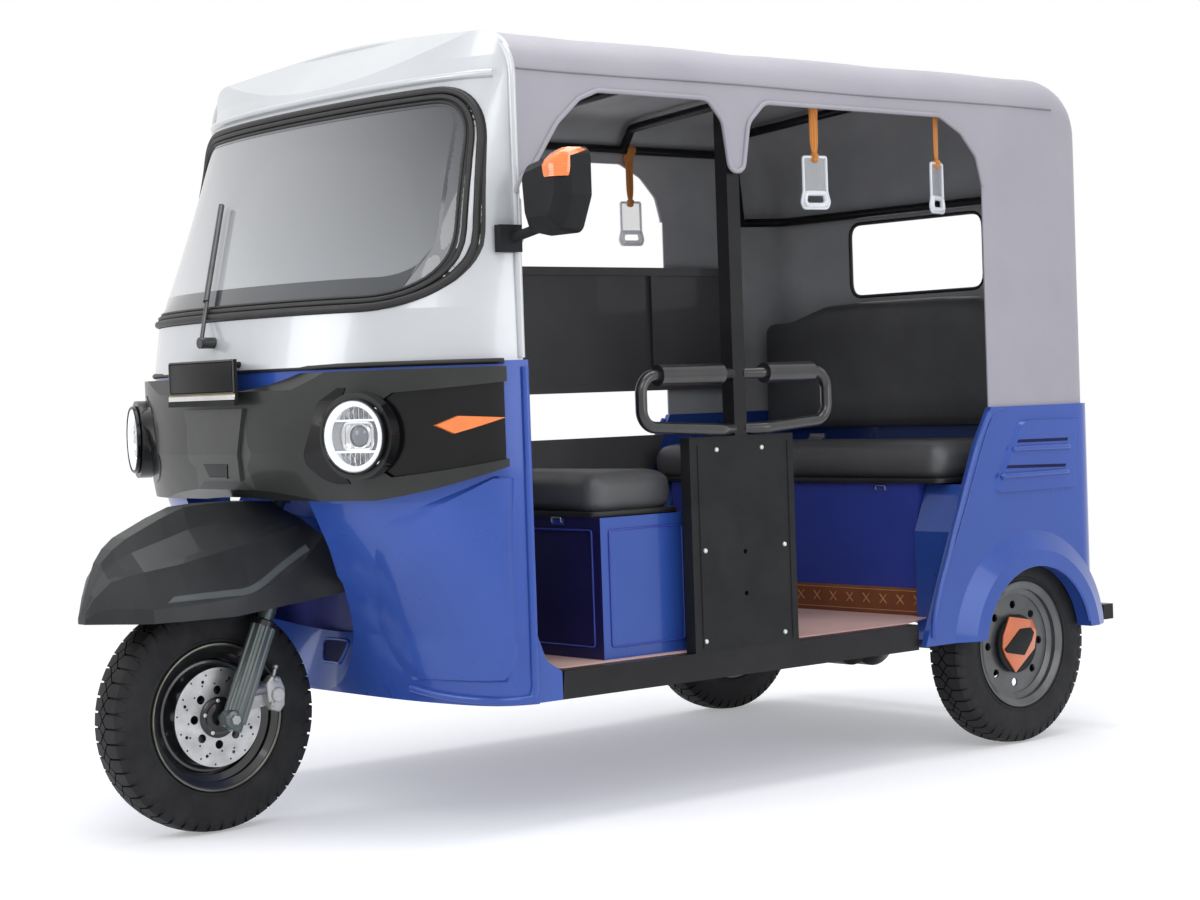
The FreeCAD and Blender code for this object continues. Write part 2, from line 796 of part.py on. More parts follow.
def caliper_shape():
    """Caliper that straddles the disc behind the left fork leg, on a lug that reaches the leg."""
    inner = S.disc_place - S.caliper_cheek - S.disc_gap
    outer = S.disc_place + S.disc_thick + S.disc_gap + S.caliper_cheek
    reach = S.disc_radius - S.caliper_deep
    angle = math.radians(S.caliper_angle)
    outline = []
    for radius, turn in ((reach, -1), (S.disc_radius + S.caliper_over, -1),
                         (S.disc_radius + S.caliper_over, 1), (reach, 1)):
        spread = angle + turn * math.radians(S.caliper_spread)
        outline.append((radius * math.cos(spread), S.tyre_radius + radius * math.sin(spread)))
    body = prism_x(outline, inner, outer)
    slot = Part.makeCylinder(S.disc_radius + S.disc_gap, S.disc_thick + S.disc_gap * 2,
                             Vector(S.disc_place - S.disc_gap, 0, S.tyre_radius), Vector(1, 0, 0))
    ring = S.disc_radius + S.caliper_over / 2
    middle = (outer, ring * math.cos(angle), S.tyre_radius + ring * math.sin(angle))
    leg = steered(S.fork_half, 0, S.caliper_lug)
    lug = rod(middle, leg, S.caliper_over).cut(steering_rod(S.fork_half, 0, -S.wall, S.slider_length, S.slider_radius))
    lug = max(lug.Solids, key=lambda solid: -solid.CenterOfMass.x)
    return fused([body.cut(slot), lug])


computed("brake_caliper", caliper_shape())


LOW_PLAN_SHARES = [(0, 0), (0.3, 0), (0.55, 0.03), (0.79, 0.2), (0.93, 0.38), (0.985, 0.7), (1, 1)]
NOSE_PLAN_SHARES = [(0, 0), (0.28, 0.03), (0.5, 0.09), (0.73, 0.22), (0.91, 0.5), (0.98, 0.79), (1, 1)]
BROW_PLAN_SHARES = [(0, 0), (0.25, 0.04), (0.48, 0.12), (0.755, 0.365), (0.92, 0.68), (0.98, 0.87), (1, 1)]
APRON_SHARES = [
    # Height, how far the front is set back, and how much of the nose's plan it has
    (0, 1, 0), (0.2, 0.8, 0.25), (0.4, 0.46, 0.6), (0.6, 0.14, 0.9), (0.75, 0.01, 1), (1, 0, 1),
]


def plan_wire(z, front, half, low_plan, high_plan, mix, inset):
    """Closed section of the nose: a curve round the front between its two rear edges."""
    points = []
    for (u_low, v_low), (u_high, v_high) in zip(low_plan, high_plan):
        u = u_low + (u_high - u_low) * mix
        v = v_low + (v_high - v_low) * mix
        points.append(Vector(u * (half - inset), front + inset + v * (S.cab_rear - front - inset), z))
    points = [Vector(-point.x, point.y, z) for point in reversed(points[1:])] + points
    curve = Part.BSplineCurve()
    curve.buildFromPoles(points, False, 3)
    return Part.Wire([curve.toShape(), Part.LineSegment(points[-1], points[0]).toShape()])


def apron_solid(inset):
    height = S.seam_height - S.apron_bottom
    sections = []
    for up, back, mix in APRON_SHARES:
        front = S.nose_y + back * (S.nose_low - S.nose_y)
        sections.append(plan_wire(S.apron_bottom + up * height, front, S.body_half,
                                  LOW_PLAN_SHARES, NOSE_PLAN_SHARES, mix, inset))
    return Part.makeLoft(sections, True, True)


def well_solid(growth):
    """Room that the wheel and its mudguard sweep: a stepped cone round the steering axis."""
    profile = [(0, 0), (S.well_half, 0), (S.well_half, S.well_shoulder), (S.well_mid, S.well_waist),
               (S.well_neck, S.well_crown), (0, S.well_crown)]
    wire = polygon([AXIS_FOOT + Vector(radius + (growth if radius else 0), 0, 0)
                    + AXIS_UP * (up + (growth if up > S.well_shoulder else -growth * 8)) for radius, up in profile])
    cone = Part.Face(wire).revolve(AXIS_FOOT, AXIS_UP, 360)
    front = prism_x([(-S.front_reach, 0), (S.axis_behind + S.well_neck, 0), (S.well_crown * 0.42, S.well_roof + growth),
                     (-S.front_reach, S.well_roof + growth)], -S.well_half - growth, S.well_half + growth)
    return cone.fuse(front)


def apron_shape():
    """Painted nose: one wall thick, open behind, with the wheel well's liner inside."""
    cavity = apron_solid(S.wall)
    room = block((-S.body_half, 0, S.floor_top), (S.body_half, S.cab_rear + S.wall, S.seam_height + S.wall))
    cavity = cavity.common(room).cut(well_solid(S.wall))
    behind = block((-S.body_half, S.cab_rear - S.soft_gap, S.floor_top), (S.body_half, S.cab_rear, S.seam_height))
    shell = apron_solid(0).cut(cavity).cut(well_solid(0))
    shell = shell.cut(steering_rod(0, 0, S.head_low - S.wall * 2, S.head_high, S.head_radius + S.soft_gap))
    for sign in (-1, 1):
        shell = shell.cut(lamp_rod(sign, 0, S.lamp_deep + S.soft_gap, S.lamp_can + S.soft_gap))
    toe = prism_x([(S.cab_rear, S.sill_bottom), (S.sill_front, S.sill_bottom), (S.sill_front, S.floor_top),
                   (S.cab_rear + S.toe_length * 0.5, S.floor_top + S.toe_height * 0.12),
                   (S.cab_rear + S.toe_length * 0.2, S.floor_top + S.toe_height * 0.4),
                   (S.cab_rear, S.floor_top + S.toe_height)], S.side_half - S.wall, S.side_half)
    shapes = [shell, toe, mirrored(toe)]
    return max(fused(shapes).Solids, key=lambda solid: solid.Volume)


def lamp_rod(sign, front, deep, radius):
    """Cylinder on a headlamp's axis, from a distance in front of its centre to one behind."""
    turn = math.radians(S.lamp_angle)
    out = Vector(sign * math.sin(turn), -math.cos(turn), 0)
    centre = Vector(sign * S.lamp_x, S.lamp_y, S.lamp_z)
    return rod(centre + out * front, centre - out * deep, radius)


computed("front_apron", apron_shape())


def panel_profile(low_drop, high_drop):
    """Side outline of the lamp panel: its lower edge dips at the lamps and climbs to the rear."""
    front = S.nose_y - S.panel_stand * 2
    return [
        (front, S.panel_low + low_drop), (S.nose_y + S.panel_stand * 0.3, S.panel_low + low_drop),
        (S.lamp_y - S.panel_stand, S.panel_dip + low_drop), (S.lamp_y + S.panel_stand, S.panel_dip + low_drop),
        (S.cab_rear - S.panel_stop, S.panel_tail + low_drop), (S.cab_rear - S.panel_stop, S.panel_high - high_drop),
        (S.nose_y + S.panel_stand * 1.2, S.panel_high - high_drop),
        (S.nose_y + S.panel_stand * 0.2, S.panel_notch - high_drop), (front, S.panel_notch - high_drop),
    ]


def lamp_panel_shape():
    """Moulded panel round the nose with an eye-shaped recess at each lamp and a raised centre field."""
    outer = apron_solid(-S.panel_stand)
    panel = outer.cut(apron_solid(0)).common(prism_x(panel_profile(0, 0), -S.canopy_half * 2, S.canopy_half * 2))
    eye = [(S.lamp_y - S.lamp_radius * 0.6, S.lamp_z), (S.lamp_y + S.lamp_radius * 0.5, S.lamp_z - S.eye_half),
           (S.cab_rear - S.panel_stop + S.wall, S.lamp_z - S.eye_half * 0.62),
           (S.cab_rear - S.panel_stop + S.wall, S.lamp_z + S.eye_half * 1.2),
           (S.lamp_y + S.lamp_radius * 0.5, S.lamp_z + S.eye_half)]
    recess = outer.cut(apron_solid(-S.panel_stand + S.eye_deep))
    for low, high in ((S.lamp_x * 0.6, S.canopy_half * 2), (-S.canopy_half * 2, -S.lamp_x * 0.6)):
        panel = panel.cut(recess.common(prism_x(eye, low, high)))
    field = apron_solid(-S.panel_stand - S.field_stand).cut(outer).common(prism_y([
        (-S.field_half * 0.66, S.panel_low + S.wall), (S.field_half * 0.66, S.panel_low + S.wall),
        (S.field_half, S.plate_low - S.wall), (-S.field_half, S.plate_low - S.wall)], -S.front_reach, S.cab_rear))
    shapes = [panel, field]
    for sign in (-1, 1):
        shapes.append(lamp_rod(sign, S.lamp_front - S.lamp_rim, S.lamp_front * 0.2, S.lamp_radius + S.lamp_collar)
                      .cut(apron_solid(0)))
    panel = fused(shapes)
    for sign in (-1, 1):
        panel = panel.cut(lamp_rod(sign, S.panel_stand * 4, S.lamp_front * 0.2, S.lamp_radius))
        panel = panel.cut(lamp_rod(sign, S.panel_stand * 4, S.lamp_deep + S.wall, S.lamp_can))
    return max(panel.Solids, key=lambda solid: solid.Volume)


computed("lamp_panel", lamp_panel_shape())


def headlamp_shape():
    """Round headlamp turned about its own axis: ring, domed lens face, can behind."""
    turn = math.radians(S.lamp_angle)
    out = Vector(math.sin(turn), -math.cos(turn), 0)
    across = Vector(0, 0, 1)
    centre = Vector(S.lamp_x, S.lamp_y, S.lamp_z)
    profile = [
        (0, -S.lamp_deep), (S.lamp_can, -S.lamp_deep), (S.lamp_can, -S.lamp_front * 0.2),
        (S.lamp_radius, -S.lamp_front * 0.2), (S.lamp_radius, S.lamp_front * 0.85), (S.lamp_radius * 0.95, S.lamp_front),
        (S.lamp_radius * 0.82, S.lamp_front * 0.92), (S.lamp_radius * 0.8, S.lamp_front * 0.62),
        (S.lamp_radius * 0.5, S.lamp_front * 0.78), (0, S.lamp_front * 0.84),
    ]
    wire = polygon([centre + across * radius + out * ahead for radius, ahead in profile])
    return Part.Face(wire).revolve(centre, out, 360)


computed("headlamps", both_sides(headlamp_shape()))


def signal_shape():
    """Kite-shaped turn signal that sits on the recessed side of the lamp panel."""
    kite = [(S.signal_front, S.signal_z), (S.signal_front + S.signal_tall, S.signal_z + S.signal_tall * 0.45),
            (S.cab_rear - S.panel_stop - S.signal_stop, S.signal_z + S.signal_rise),
            (S.signal_front + S.signal_tall * 0.8, S.signal_z - S.signal_tall * 0.45)]
    seat = -S.panel_stand + S.eye_deep
    layer = apron_solid(seat - S.signal_stand).cut(apron_solid(seat))
    return layer.common(prism_x(kite, S.lamp_x, S.canopy_half * 2))


computed("turn_signals", both_sides(signal_shape()))


def roof_wire(y, half, top, low):
    """Cross-section of cab and canopy: upright sides, rounded eaves and a gentle crown."""
    slope = math.radians(S.roof_slope)
    crown = S.crown_radius * (1 / math.cos(slope) - 1)
    eave = top + crown - half * math.tan(slope)
    corners = [Vector(-half, y, low), Vector(half, y, low), Vector(half, y, eave), Vector(0, y, top + crown),
               Vector(-half, y, eave)]
    tiny = S.soft_gap
    return rounded(corners, [tiny, tiny, S.eave_radius, S.crown_radius, S.eave_radius])


def roof_prism(low_y, high_y, half, top, low):
    return Part.Face(roof_wire(low_y, half, top, low)).extrude(Vector(0, high_y - low_y, 0))


CAB_SHARES = [
    # Height above the seam, how far the front leans back, half width, share of the brow's plan
    (0, 0, 1, 0), (0.15, 0.055, 0.998, 0), (0.85, 0.836, 0.984, 1), (1, 1, 0.98, 1),
]


def cab_solid(inset):
    height = S.cab_peak - S.seam_height
    sections = []
    for up, back, wide, mix in CAB_SHARES:
        front = S.cab_front + back * (S.cab_lean - S.cab_front)
        sections.append(plan_wire(S.seam_height + up * height, front, S.cab_half * wide,
                                  NOSE_PLAN_SHARES, BROW_PLAN_SHARES, mix, inset))
    loft = Part.makeLoft(sections, True, True)
    top = S.canopy_top - inset
    brow = prism_x([(0, S.seam_height), (S.cab_rear, S.seam_height), (S.cab_rear, top),
                    (S.brow_y + inset * 0.5, S.brow_z - inset * 0.5), (0, S.brow_z - inset * 0.5)],
                   -S.body_half, S.body_half)
    roof = roof_prism(0, S.cab_rear, S.canopy_half + abs(inset), top, S.seam_height - S.wall)
    return loft.common(brow).common(roof)


def window_face(growth):
    """Windscreen outline seen from the front, grown all round by a margin."""
    low = S.glass_low - growth
    high = S.glass_high + growth
    corners = [Vector(-S.glass_half_low - growth, 0, low), Vector(S.glass_half_low + growth, 0, low),
               Vector(S.glass_half_high + growth, 0, high), Vector(-S.glass_half_high - growth, 0, high)]
    radii = [S.glass_round_low + growth, S.glass_round_low + growth, S.glass_round_high + growth,
             S.glass_round_high + growth]
    return Part.Face(rounded(corners, radii))


def window_prism(growth):
    return window_face(growth).extrude(Vector(0, S.cab_rear - S.wall * 1.2, 0))


def cab_front_shape():
    """Painted cab upper: windscreen frame, brow over the glass and sides back to the doorways."""
    return cab_solid(0).cut(cab_solid(S.wall)).cut(window_prism(0))


computed("cab_front", cab_front_shape())
computed("windscreen_glass", cab_solid(0).cut(cab_solid(S.glass_thick)).common(window_prism(0)))
seal_ring = window_prism(S.seal_width - S.seal_lap).cut(window_prism(-S.seal_lap))
computed("windscreen_seal", cab_solid(-S.seal_stand).common(seal_ring).cut(cab_solid(0)))


def door_outline():
    """Side openings of the canopy, with the slanted fabric gusset round the middle pillar."""
    top = S.door_top
    pillar = S.board_centre
    half = S.pillar_width / 2
    front = S.door_front + S.door_slant
    rear = S.door_rear - S.rear_slant
    low = S.seam_height - S.wall * 20
    return [
        (S.door_front - S.wall, low), (S.door_front - S.wall, S.door_low), (S.door_front + S.wall * 2.5, S.door_low + S.wall * 2),
        (S.door_front + S.door_slant * 0.5, top - S.door_slant * 0.33), (S.door_front + S.door_slant * 0.78, top - S.wall),
        (front, top), (pillar - half - S.gusset_half, top), (pillar - half - S.gusset_half * 0.3, top - S.wall * 2.5),
        (pillar - half, S.gusset_low), (pillar + half, S.gusset_low),
        (pillar + half + S.gusset_half * 0.4, top - S.wall * 2.5), (pillar + half + S.gusset_half * 1.3, top),
        (rear, top), (rear + S.rear_slant * 0.5, top - S.wall * 2), (S.door_rear - S.wall, top - S.rear_slant * 0.62),
        (S.door_rear, top - S.rear_slant * 1.05), (S.door_rear, low),
    ]


def canopy_solid(inset):
    """Outer form of the hood, shrunk by a wall: eaves, rounded rear top edge and rear corners."""
    half = S.canopy_half - inset
    rear = S.canopy_rear - inset
    body = roof_prism(S.cab_rear, rear, half, S.canopy_top - inset, S.quarter_top)
    high = S.canopy_top + S.eave_radius
    tiny = S.soft_gap
    side = rounded([Vector(-half, S.cab_rear, S.quarter_top), Vector(-half, rear, S.quarter_top),
                    Vector(-half, rear, S.canopy_top - inset), Vector(-half, S.cab_rear, S.canopy_top - inset)],
                   [tiny, tiny, S.corner_round - inset, tiny])
    plan = rounded([Vector(-half, S.cab_rear, S.quarter_top), Vector(half, S.cab_rear, S.quarter_top),
                    Vector(half, rear, S.quarter_top), Vector(-half, rear, S.quarter_top)],
                   [tiny, tiny, S.corner_radius - inset, S.corner_radius - inset])
    body = body.common(Part.Face(side).extrude(Vector(half * 2, 0, 0)))
    return body.common(Part.Face(plan).extrude(Vector(0, 0, high - S.quarter_top)))


def back_window(growth):
    half = S.back_window_half + growth
    corners = [Vector(-half, S.bench_rear, S.back_window_low - growth), Vector(half, S.bench_rear, S.back_window_low - growth),
               Vector(half, S.bench_rear, S.back_window_high + growth), Vector(-half, S.bench_rear, S.back_window_high + growth)]
    return Part.Face(rounded(corners, [S.back_window_round] * 4)).extrude(Vector(0, S.canopy_rear, 0))


def canopy_shape():
    """Fabric hood over cab and bench: open at the sides, with a window in the back."""
    outer = canopy_solid(0)
    doors = prism_x(door_outline(), -S.body_half, S.body_half)
    return outer.cut(doors).cut(back_window(0)).cut(canopy_cavity())


def canopy_cavity():
    inner = canopy_solid(S.canopy_skin)
    low = block((-S.canopy_half + S.canopy_skin, S.cab_rear - S.wall, S.quarter_top - S.wall),
                (S.canopy_half - S.canopy_skin, S.canopy_rear - S.corner_radius, S.quarter_top + S.wall))
    front = roof_prism(S.cab_rear - S.wall, S.cab_rear + S.wall, S.canopy_half - S.canopy_skin,
                       S.canopy_top - S.canopy_skin, S.quarter_top)
    return inner.fuse(low).fuse(front)


computed("canopy", canopy_shape())


def rail_place():
    """Side distance, height of the eave rails and height of the roof bows' crown."""
    half = S.canopy_half - S.canopy_skin - S.roof_tube - S.roof_tube_gap
    peak = S.canopy_top - S.canopy_skin - S.roof_tube - S.roof_tube_gap
    return half, peak - half * math.tan(math.radians(S.roof_slope)) - S.eave_radius * 0.55, peak


def roof_frame_shape():
    """Tubes under the hood: eave rails, bows, rear hoop, and the two middle pillars."""
    half, eave, peak = rail_place()
    slope = math.tan(math.radians(S.roof_slope))
    shapes = []
    ends = (S.cab_rear + S.roof_tube * 2, S.canopy_rear - S.corner_round)
    for x in (-half, half):
        shapes.append(rod((x, ends[0], eave), (x, ends[1], eave), S.roof_tube))
    shoulder = peak - half * slope * 0.9
    for share in (0, 0.24, 0.5, 0.75, 1):
        y = ends[0] + share * (ends[1] - ends[0])
        route = [(-half, y, eave), (-half * 0.93, y, shoulder), (0, y, peak - S.roof_tube_gap * 2),
                 (half * 0.93, y, shoulder), (half, y, eave)]
        shapes.append(tube(route, S.roof_tube, S.roof_tube * 2.2))
    rear = S.canopy_rear - S.canopy_skin - S.roof_tube - S.roof_tube_gap
    high = S.back_window_high + S.roof_tube * 2
    side = half - S.corner_radius * 0.3
    hoop = [(-side, ends[1], high), (-side * 0.9, rear, high), (side * 0.9, rear, high), (side, ends[1], high)]
    shapes.append(tube(hoop, S.roof_tube, S.corner_radius * 0.5))
    for x in (-side, side):
        shapes.append(rod((x, ends[1], high), (x * half / side, ends[1], eave), S.roof_tube))
    outer = S.side_half - S.roof_tube_gap
    for low, high_x in ((-outer, -outer + S.pillar_width), (outer - S.pillar_width, outer)):
        shapes.append(block((low, S.board_centre - S.pillar_width / 2, S.board_top),
                            (high_x, S.board_centre + S.pillar_width / 2, eave)))
    return fused(shapes)


computed("roof_frame", roof_frame_shape())

for side in ("left", "right"):
    board = new_body("side_board_" + side)
    start = "side_half - board_thick" if side == "left" else "-side_half"
    sketch = new_sketch(board, f"board_{side}_outline", "YZ", start)
    add_box(sketch, "board_centre - board_half", "board_centre + board_half", "floor_top", "board_top")
    for height in ("board_hole_high", "board_hole_low"):
        add_circle(sketch, "board_centre", height, "board_hole")
    add_feature(board, "Pad", sketch, "board_thick")


def armrest_shape():
    """Two bent tube loops on the left pillar, each with a foam grip along its top."""
    pillar = S.side_half - S.roof_tube_gap
    shapes = []
    for edge, end in ((S.board_centre - S.pillar_width / 2, S.arm_front),
                      (S.board_centre + S.pillar_width / 2, S.arm_rear)):
        sign = math.copysign(1, end - edge)
        inside = S.arm_side - S.arm_radius * 1.5
        route = [(inside, edge, S.arm_low), (S.arm_side, edge + sign * S.arm_bend, S.arm_low),
                 (S.arm_side, end, S.arm_low + S.arm_radius), (S.arm_side, end, S.arm_high),
                 (S.arm_side, edge + sign * S.arm_bend, S.arm_high), (inside, edge, S.arm_high)]
        loop = tube(route, S.arm_radius, S.arm_radius * 3)
        pad = rod((S.arm_side, edge + sign * S.arm_bend, S.arm_high), (S.arm_side, end + sign * -S.arm_bend, S.arm_high),
                  S.arm_pad_radius)
        shapes.append(fused([loop, pad]))
    return Part.makeCompound(shapes).cut(block((pillar - S.pillar_width, S.board_centre - S.pillar_width / 2, S.arm_low - S.wall * 2),
                                               (pillar, S.board_centre + S.pillar_width / 2, S.arm_high + S.wall * 3)))


computed("armrest_loops", armrest_shape())


def quarter_edge():
    """Slanted front edge of the rear quarter, from the sill to the hood."""
    return [(S.quarter_foot, S.quarter_low), (S.quarter_knee, S.quarter_knee_z), (S.quarter_hip, S.quarter_hip_z),
            (S.door_rear, S.quarter_top)]


def rear_shell():
    """Sheet round the tail with rounded rear corners, between the sills and the hood."""
    solids = []
    for inset in (0, S.panel_skin):
        half = S.panel_half - inset
        rear = S.panel_rear - inset
        start = S.quarter_foot - S.wall * (1 if inset == 0 else 2)
        wire = rounded([Vector(-half, start, S.quarter_low), Vector(half, start, S.quarter_low),
                        Vector(half, rear, S.quarter_low), Vector(-half, rear, S.quarter_low)],
                       [S.soft_gap, S.soft_gap, S.corner_radius - inset, S.corner_radius - inset])
        solids.append(Part.Face(wire).extrude(Vector(0, 0, S.quarter_top - S.quarter_low)))
    return solids[0].cut(solids[1])


def quarter_shape():
    """Left rear quarter: skin, flared arch and the wheelhouse behind it."""
    outline = quarter_edge() + [(S.panel_rear, S.quarter_top), (S.panel_rear, S.tail_low), (S.panel_rear - S.corner_radius, S.quarter_low)]
    skin = rear_shell().common(prism_x(outline, S.tail_half, S.body_half))
    skin = skin.common(block((S.tail_half, 0, 0), (S.body_half, S.rear_reach, S.canopy_top)))
    hub = Vector(0, S.arch_y, S.arch_z)
    inner = S.panel_half - S.panel_skin
    flare = [(S.arch_radius, inner), (S.arch_radius, S.panel_half + S.flare_stand),
             (S.arch_radius + S.flare_width * 0.42, S.panel_half + S.flare_stand * 0.9),
             (S.arch_radius + S.flare_width, S.panel_half - S.soft_gap), (S.arch_radius + S.flare_width, inner)]
    ring = Part.Face(polygon([hub + Vector(x, 0, radius) for radius, x in flare])).revolve(hub, Vector(1, 0, 0), 360)
    ring = ring.common(prism_x([(S.quarter_foot + S.wall * 2, S.quarter_low), (S.quarter_knee, S.quarter_knee_z + S.wall * 2),
                                (S.quarter_knee + S.flare_width, S.canopy_top), (S.panel_rear - S.soft_gap, S.canopy_top), (S.panel_rear - S.soft_gap, S.quarter_low)],
                               0, S.body_half * 2))
    arch = Part.makeCylinder(S.arch_radius, S.body_half * 2, hub, Vector(1, 0, 0))
    run = (S.quarter_hip - S.quarter_knee) / (S.quarter_hip_z - S.quarter_knee_z)
    bend = S.quarter_knee_z + (S.house_front - S.wall / 2 - S.quarter_knee) / run
    lean = S.house_front + (S.house_top - bend) * run
    back = S.panel_rear - S.wall * 2
    skin_gap = S.house_skin
    outer = [(S.house_front, S.quarter_low), (S.house_front, bend), (lean, S.house_top), (back, S.house_top),
             (back, S.quarter_low)]
    room = [(S.house_front + skin_gap, S.quarter_low - S.wall), (S.house_front + skin_gap, bend - skin_gap / 2),
            (lean + skin_gap, S.house_top - skin_gap), (back - skin_gap, S.house_top - skin_gap),
            (back - skin_gap, S.quarter_low - S.wall)]
    house = prism_x(outer, S.house_half, inner).cut(prism_x(room, S.house_half + skin_gap, inner + S.wall))
    edge = prism_x([(0, 0), (S.quarter_foot, S.quarter_low)] + quarter_edge()[1:] + [(0, S.quarter_top)], 0, S.body_half * 2)
    drum_room = rod((0, S.wheelbase, S.tyre_radius), (S.house_half + S.wall, S.wheelbase, S.tyre_radius),
                    S.drum_radius + S.wall * 0.75)
    house = house.cut(edge).cut(drum_room)
    body = skin.cut(arch).fuse(ring).fuse(house)
    return max(body.Solids, key=lambda solid: solid.Volume)


left_quarter = quarter_shape()
computed("rear_quarter_left", left_quarter)
computed("rear_quarter_right", mirrored(left_quarter))
tail_limits = block((-S.tail_half, S.quarter_foot, S.tail_low), (S.tail_half, S.rear_reach, S.quarter_top))
computed("tail_panel", rear_shell().common(tail_limits).cut(block((-S.tail_half, 0, 0), (S.tail_half, S.quarter_foot + S.wall, S.canopy_top))))

lamp = block((S.tail_lamp_x - S.tail_lamp_half, S.panel_rear, S.tail_lamp_low),
             (S.tail_lamp_x + S.tail_lamp_half, S.panel_rear + S.tail_lamp_stand, S.tail_lamp_high))
lamp = lamp.makeFillet(S.tail_lamp_stand * 0.8, [edge for edge in lamp.Edges if abs(edge.CenterOfMass.y - S.panel_rear - S.tail_lamp_stand) < S.soft_gap])
computed("tail_lamps", both_sides(lamp))


def bumper_shape():
    """Square bar behind the tail on two stays from the frame rails."""
    size = S.bumper_size
    bar = block((-S.bumper_half, S.rear_reach - size, S.bumper_low), (S.bumper_half, S.rear_reach, S.bumper_low + size))
    shapes = [bar]
    top = S.floor_top - S.floor_thick - S.rail_depth + S.rail_kick
    for x in (-S.rail_inner - S.rail_width / 2, S.rail_inner + S.rail_width / 2):
        start = S.frame_rear - S.cross_width
        outline = [(S.rear_reach - size, S.bumper_low), (S.rear_reach - size, S.bumper_low + size),
                   (start + size, S.bumper_low + size), (start + size, top), (start, top), (start, S.bumper_low)]
        shapes.append(prism_x(outline, x - size * 0.3, x + size * 0.3))
    return fused(shapes)


computed("rear_bumper", bumper_shape())

axle = new_body("rear_axle")
sketch = new_sketch(axle, "axle_section", "XY", "tyre_radius", ("0", "wheelbase"))
drum = "track_half - hub_half - drum_gap"
add_loop(sketch, [
    ("-track_half - rear_dish", "0"), ("-track_half - rear_dish", "spindle_radius"), (f"-({drum})", "spindle_radius"),
    (f"-({drum})", "drum_radius"), (f"-({drum}) + drum_width", "drum_radius"), (f"-({drum}) + drum_width", "axle_tube"),
    ("-diff_half * 1.7", "axle_tube"), ("-diff_half", "diff_radius"), ("diff_half", "diff_radius"),
    ("diff_half * 1.7", "axle_tube"), (f"({drum}) - drum_width", "axle_tube"), (f"({drum}) - drum_width", "drum_radius"),
    (drum, "drum_radius"), (drum, "spindle_radius"), ("track_half + rear_dish", "spindle_radius"),
    ("track_half + rear_dish", "0"),
])
add_feature(axle, "Revolution", sketch)
doc.recompute()
sketch = new_sketch(axle, "motor_section", "YZ", "-motor_length * 0.3", ("wheelbase - motor_ahead", "tyre_radius"))
add_circle(sketch, "0", "0", "motor_radius")
add_feature(axle, "Pad", sketch, "motor_length")
sketch = new_sketch(axle, "gear_case", "YZ", "-diff_half * 0.8", ("wheelbase", "tyre_radius"))
add_box(sketch, "-motor_ahead", "0", "-diff_radius * 0.55", "diff_radius * 0.55")
add_feature(axle, "Pad", sketch, "diff_half * 1.6")


def spring_shape():
    """Leaf spring over the axle: pinned to the rail in front, hung from it by a shackle behind."""
    low = S.tyre_radius + S.axle_tube
    arcs = []
    for lift in (0, S.spring_thick):
        arcs.append([Vector(0, S.wheelbase + reach, low + lift + sag) for reach, sag in
                     ((-S.spring_reach, S.spring_sag), (0, 0), (S.spring_reach, S.spring_sag))])
    edges = [Part.Arc(*arcs[0]).toShape(), Part.LineSegment(arcs[0][2], arcs[1][2]).toShape(),
             Part.Arc(*reversed(arcs[1])).toShape(), Part.LineSegment(arcs[1][0], arcs[0][0]).toShape()]
    left = S.spring_x - S.spring_width / 2
    right = left + S.spring_width
    rail_side = S.rail_inner + S.rail_width
    leaf = Part.Face(Part.Wire(edges)).extrude(Vector(S.spring_width, 0, 0))
    leaf.translate(Vector(left, 0, 0))
    eye = low + S.spring_sag + S.spring_thick / 2
    front = S.wheelbase - S.spring_reach
    rear = S.wheelbase + S.spring_reach
    hung = S.floor_top - S.floor_thick - S.rail_depth / 2 + S.rail_kick
    shapes = [leaf, rod((rail_side, front, eye), (right, front, eye), S.spring_eye),
              rod((left, rear, eye), (right, rear, eye), S.spring_eye),
              block((left, rear - S.spring_eye * 0.7, eye), (right, rear + S.spring_eye * 0.7, hung)),
              rod((rail_side, rear, hung), (right, rear, hung), S.spring_eye)]
    tube_room = rod((-S.track_half, S.wheelbase, S.tyre_radius), (S.track_half, S.wheelbase, S.tyre_radius), S.axle_tube)
    return fused(shapes).cut(tube_room)


computed("leaf_springs", both_sides(spring_shape()))


def add_seat_box(name, front, rear, half, low, top):
    """Folded sheet box, open at the top where its lid lies, with a framed panel on its front."""
    body = new_body(name)
    sketch = new_sketch(body, name + "_outline", "XY", low)
    add_box(sketch, f"-({half})", half, front, rear)
    add_feature(body, "Pad", sketch, f"{top} - {low}")
    doc.recompute()
    sketch = new_sketch(body, name + "_room", "XY", top)
    add_box(sketch, f"-({half}) + seat_wall", f"{half} - seat_wall", f"{front} + seat_wall", f"{rear} - seat_wall")
    add_feature(body, "Pocket", sketch, f"{top} - {low} - seat_wall")
    return body


box = add_seat_box("driver_seat_box", "seat_front", "seat_rear", "seat_half", "floor_top", "seat_box_top")
doc.recompute()
sketch = new_sketch(box, "driver_front_panel", "XZ", "-seat_front")
add_box(sketch, "-seat_half * 0.93", "seat_half * 0.93", "floor_top + wall * 1.4", "seat_box_top - wall * 1.4")
add_feature(box, "Pocket", sketch, "seat_wall * 0.3")
box = add_seat_box("rear_seat_box", "bench_front", "bench_rear", "bench_half", "bench_low", "bench_top")
sketch = new_sketch(box, "bench_skirt", "XZ", "-bench_front")
add_box(sketch, "-bench_half", "bench_half", "floor_top", "bench_low")
add_feature(box, "Pad", sketch, "seat_wall", backwards=True)


def cushion(name, half, front, rear, low, high):
    """Simple closed form of a soft seat, clear of the box under it."""
    body = new_body(name)
    sketch = new_sketch(body, name + "_outline", "XY", f"{low} + soft_gap")
    add_box(sketch, f"-({half})", half, front, rear)
    add_feature(body, "Pad", sketch, f"{high} - soft_gap")
    round_edges(body, name + "_corners", "cushion_round", upright)
    return body


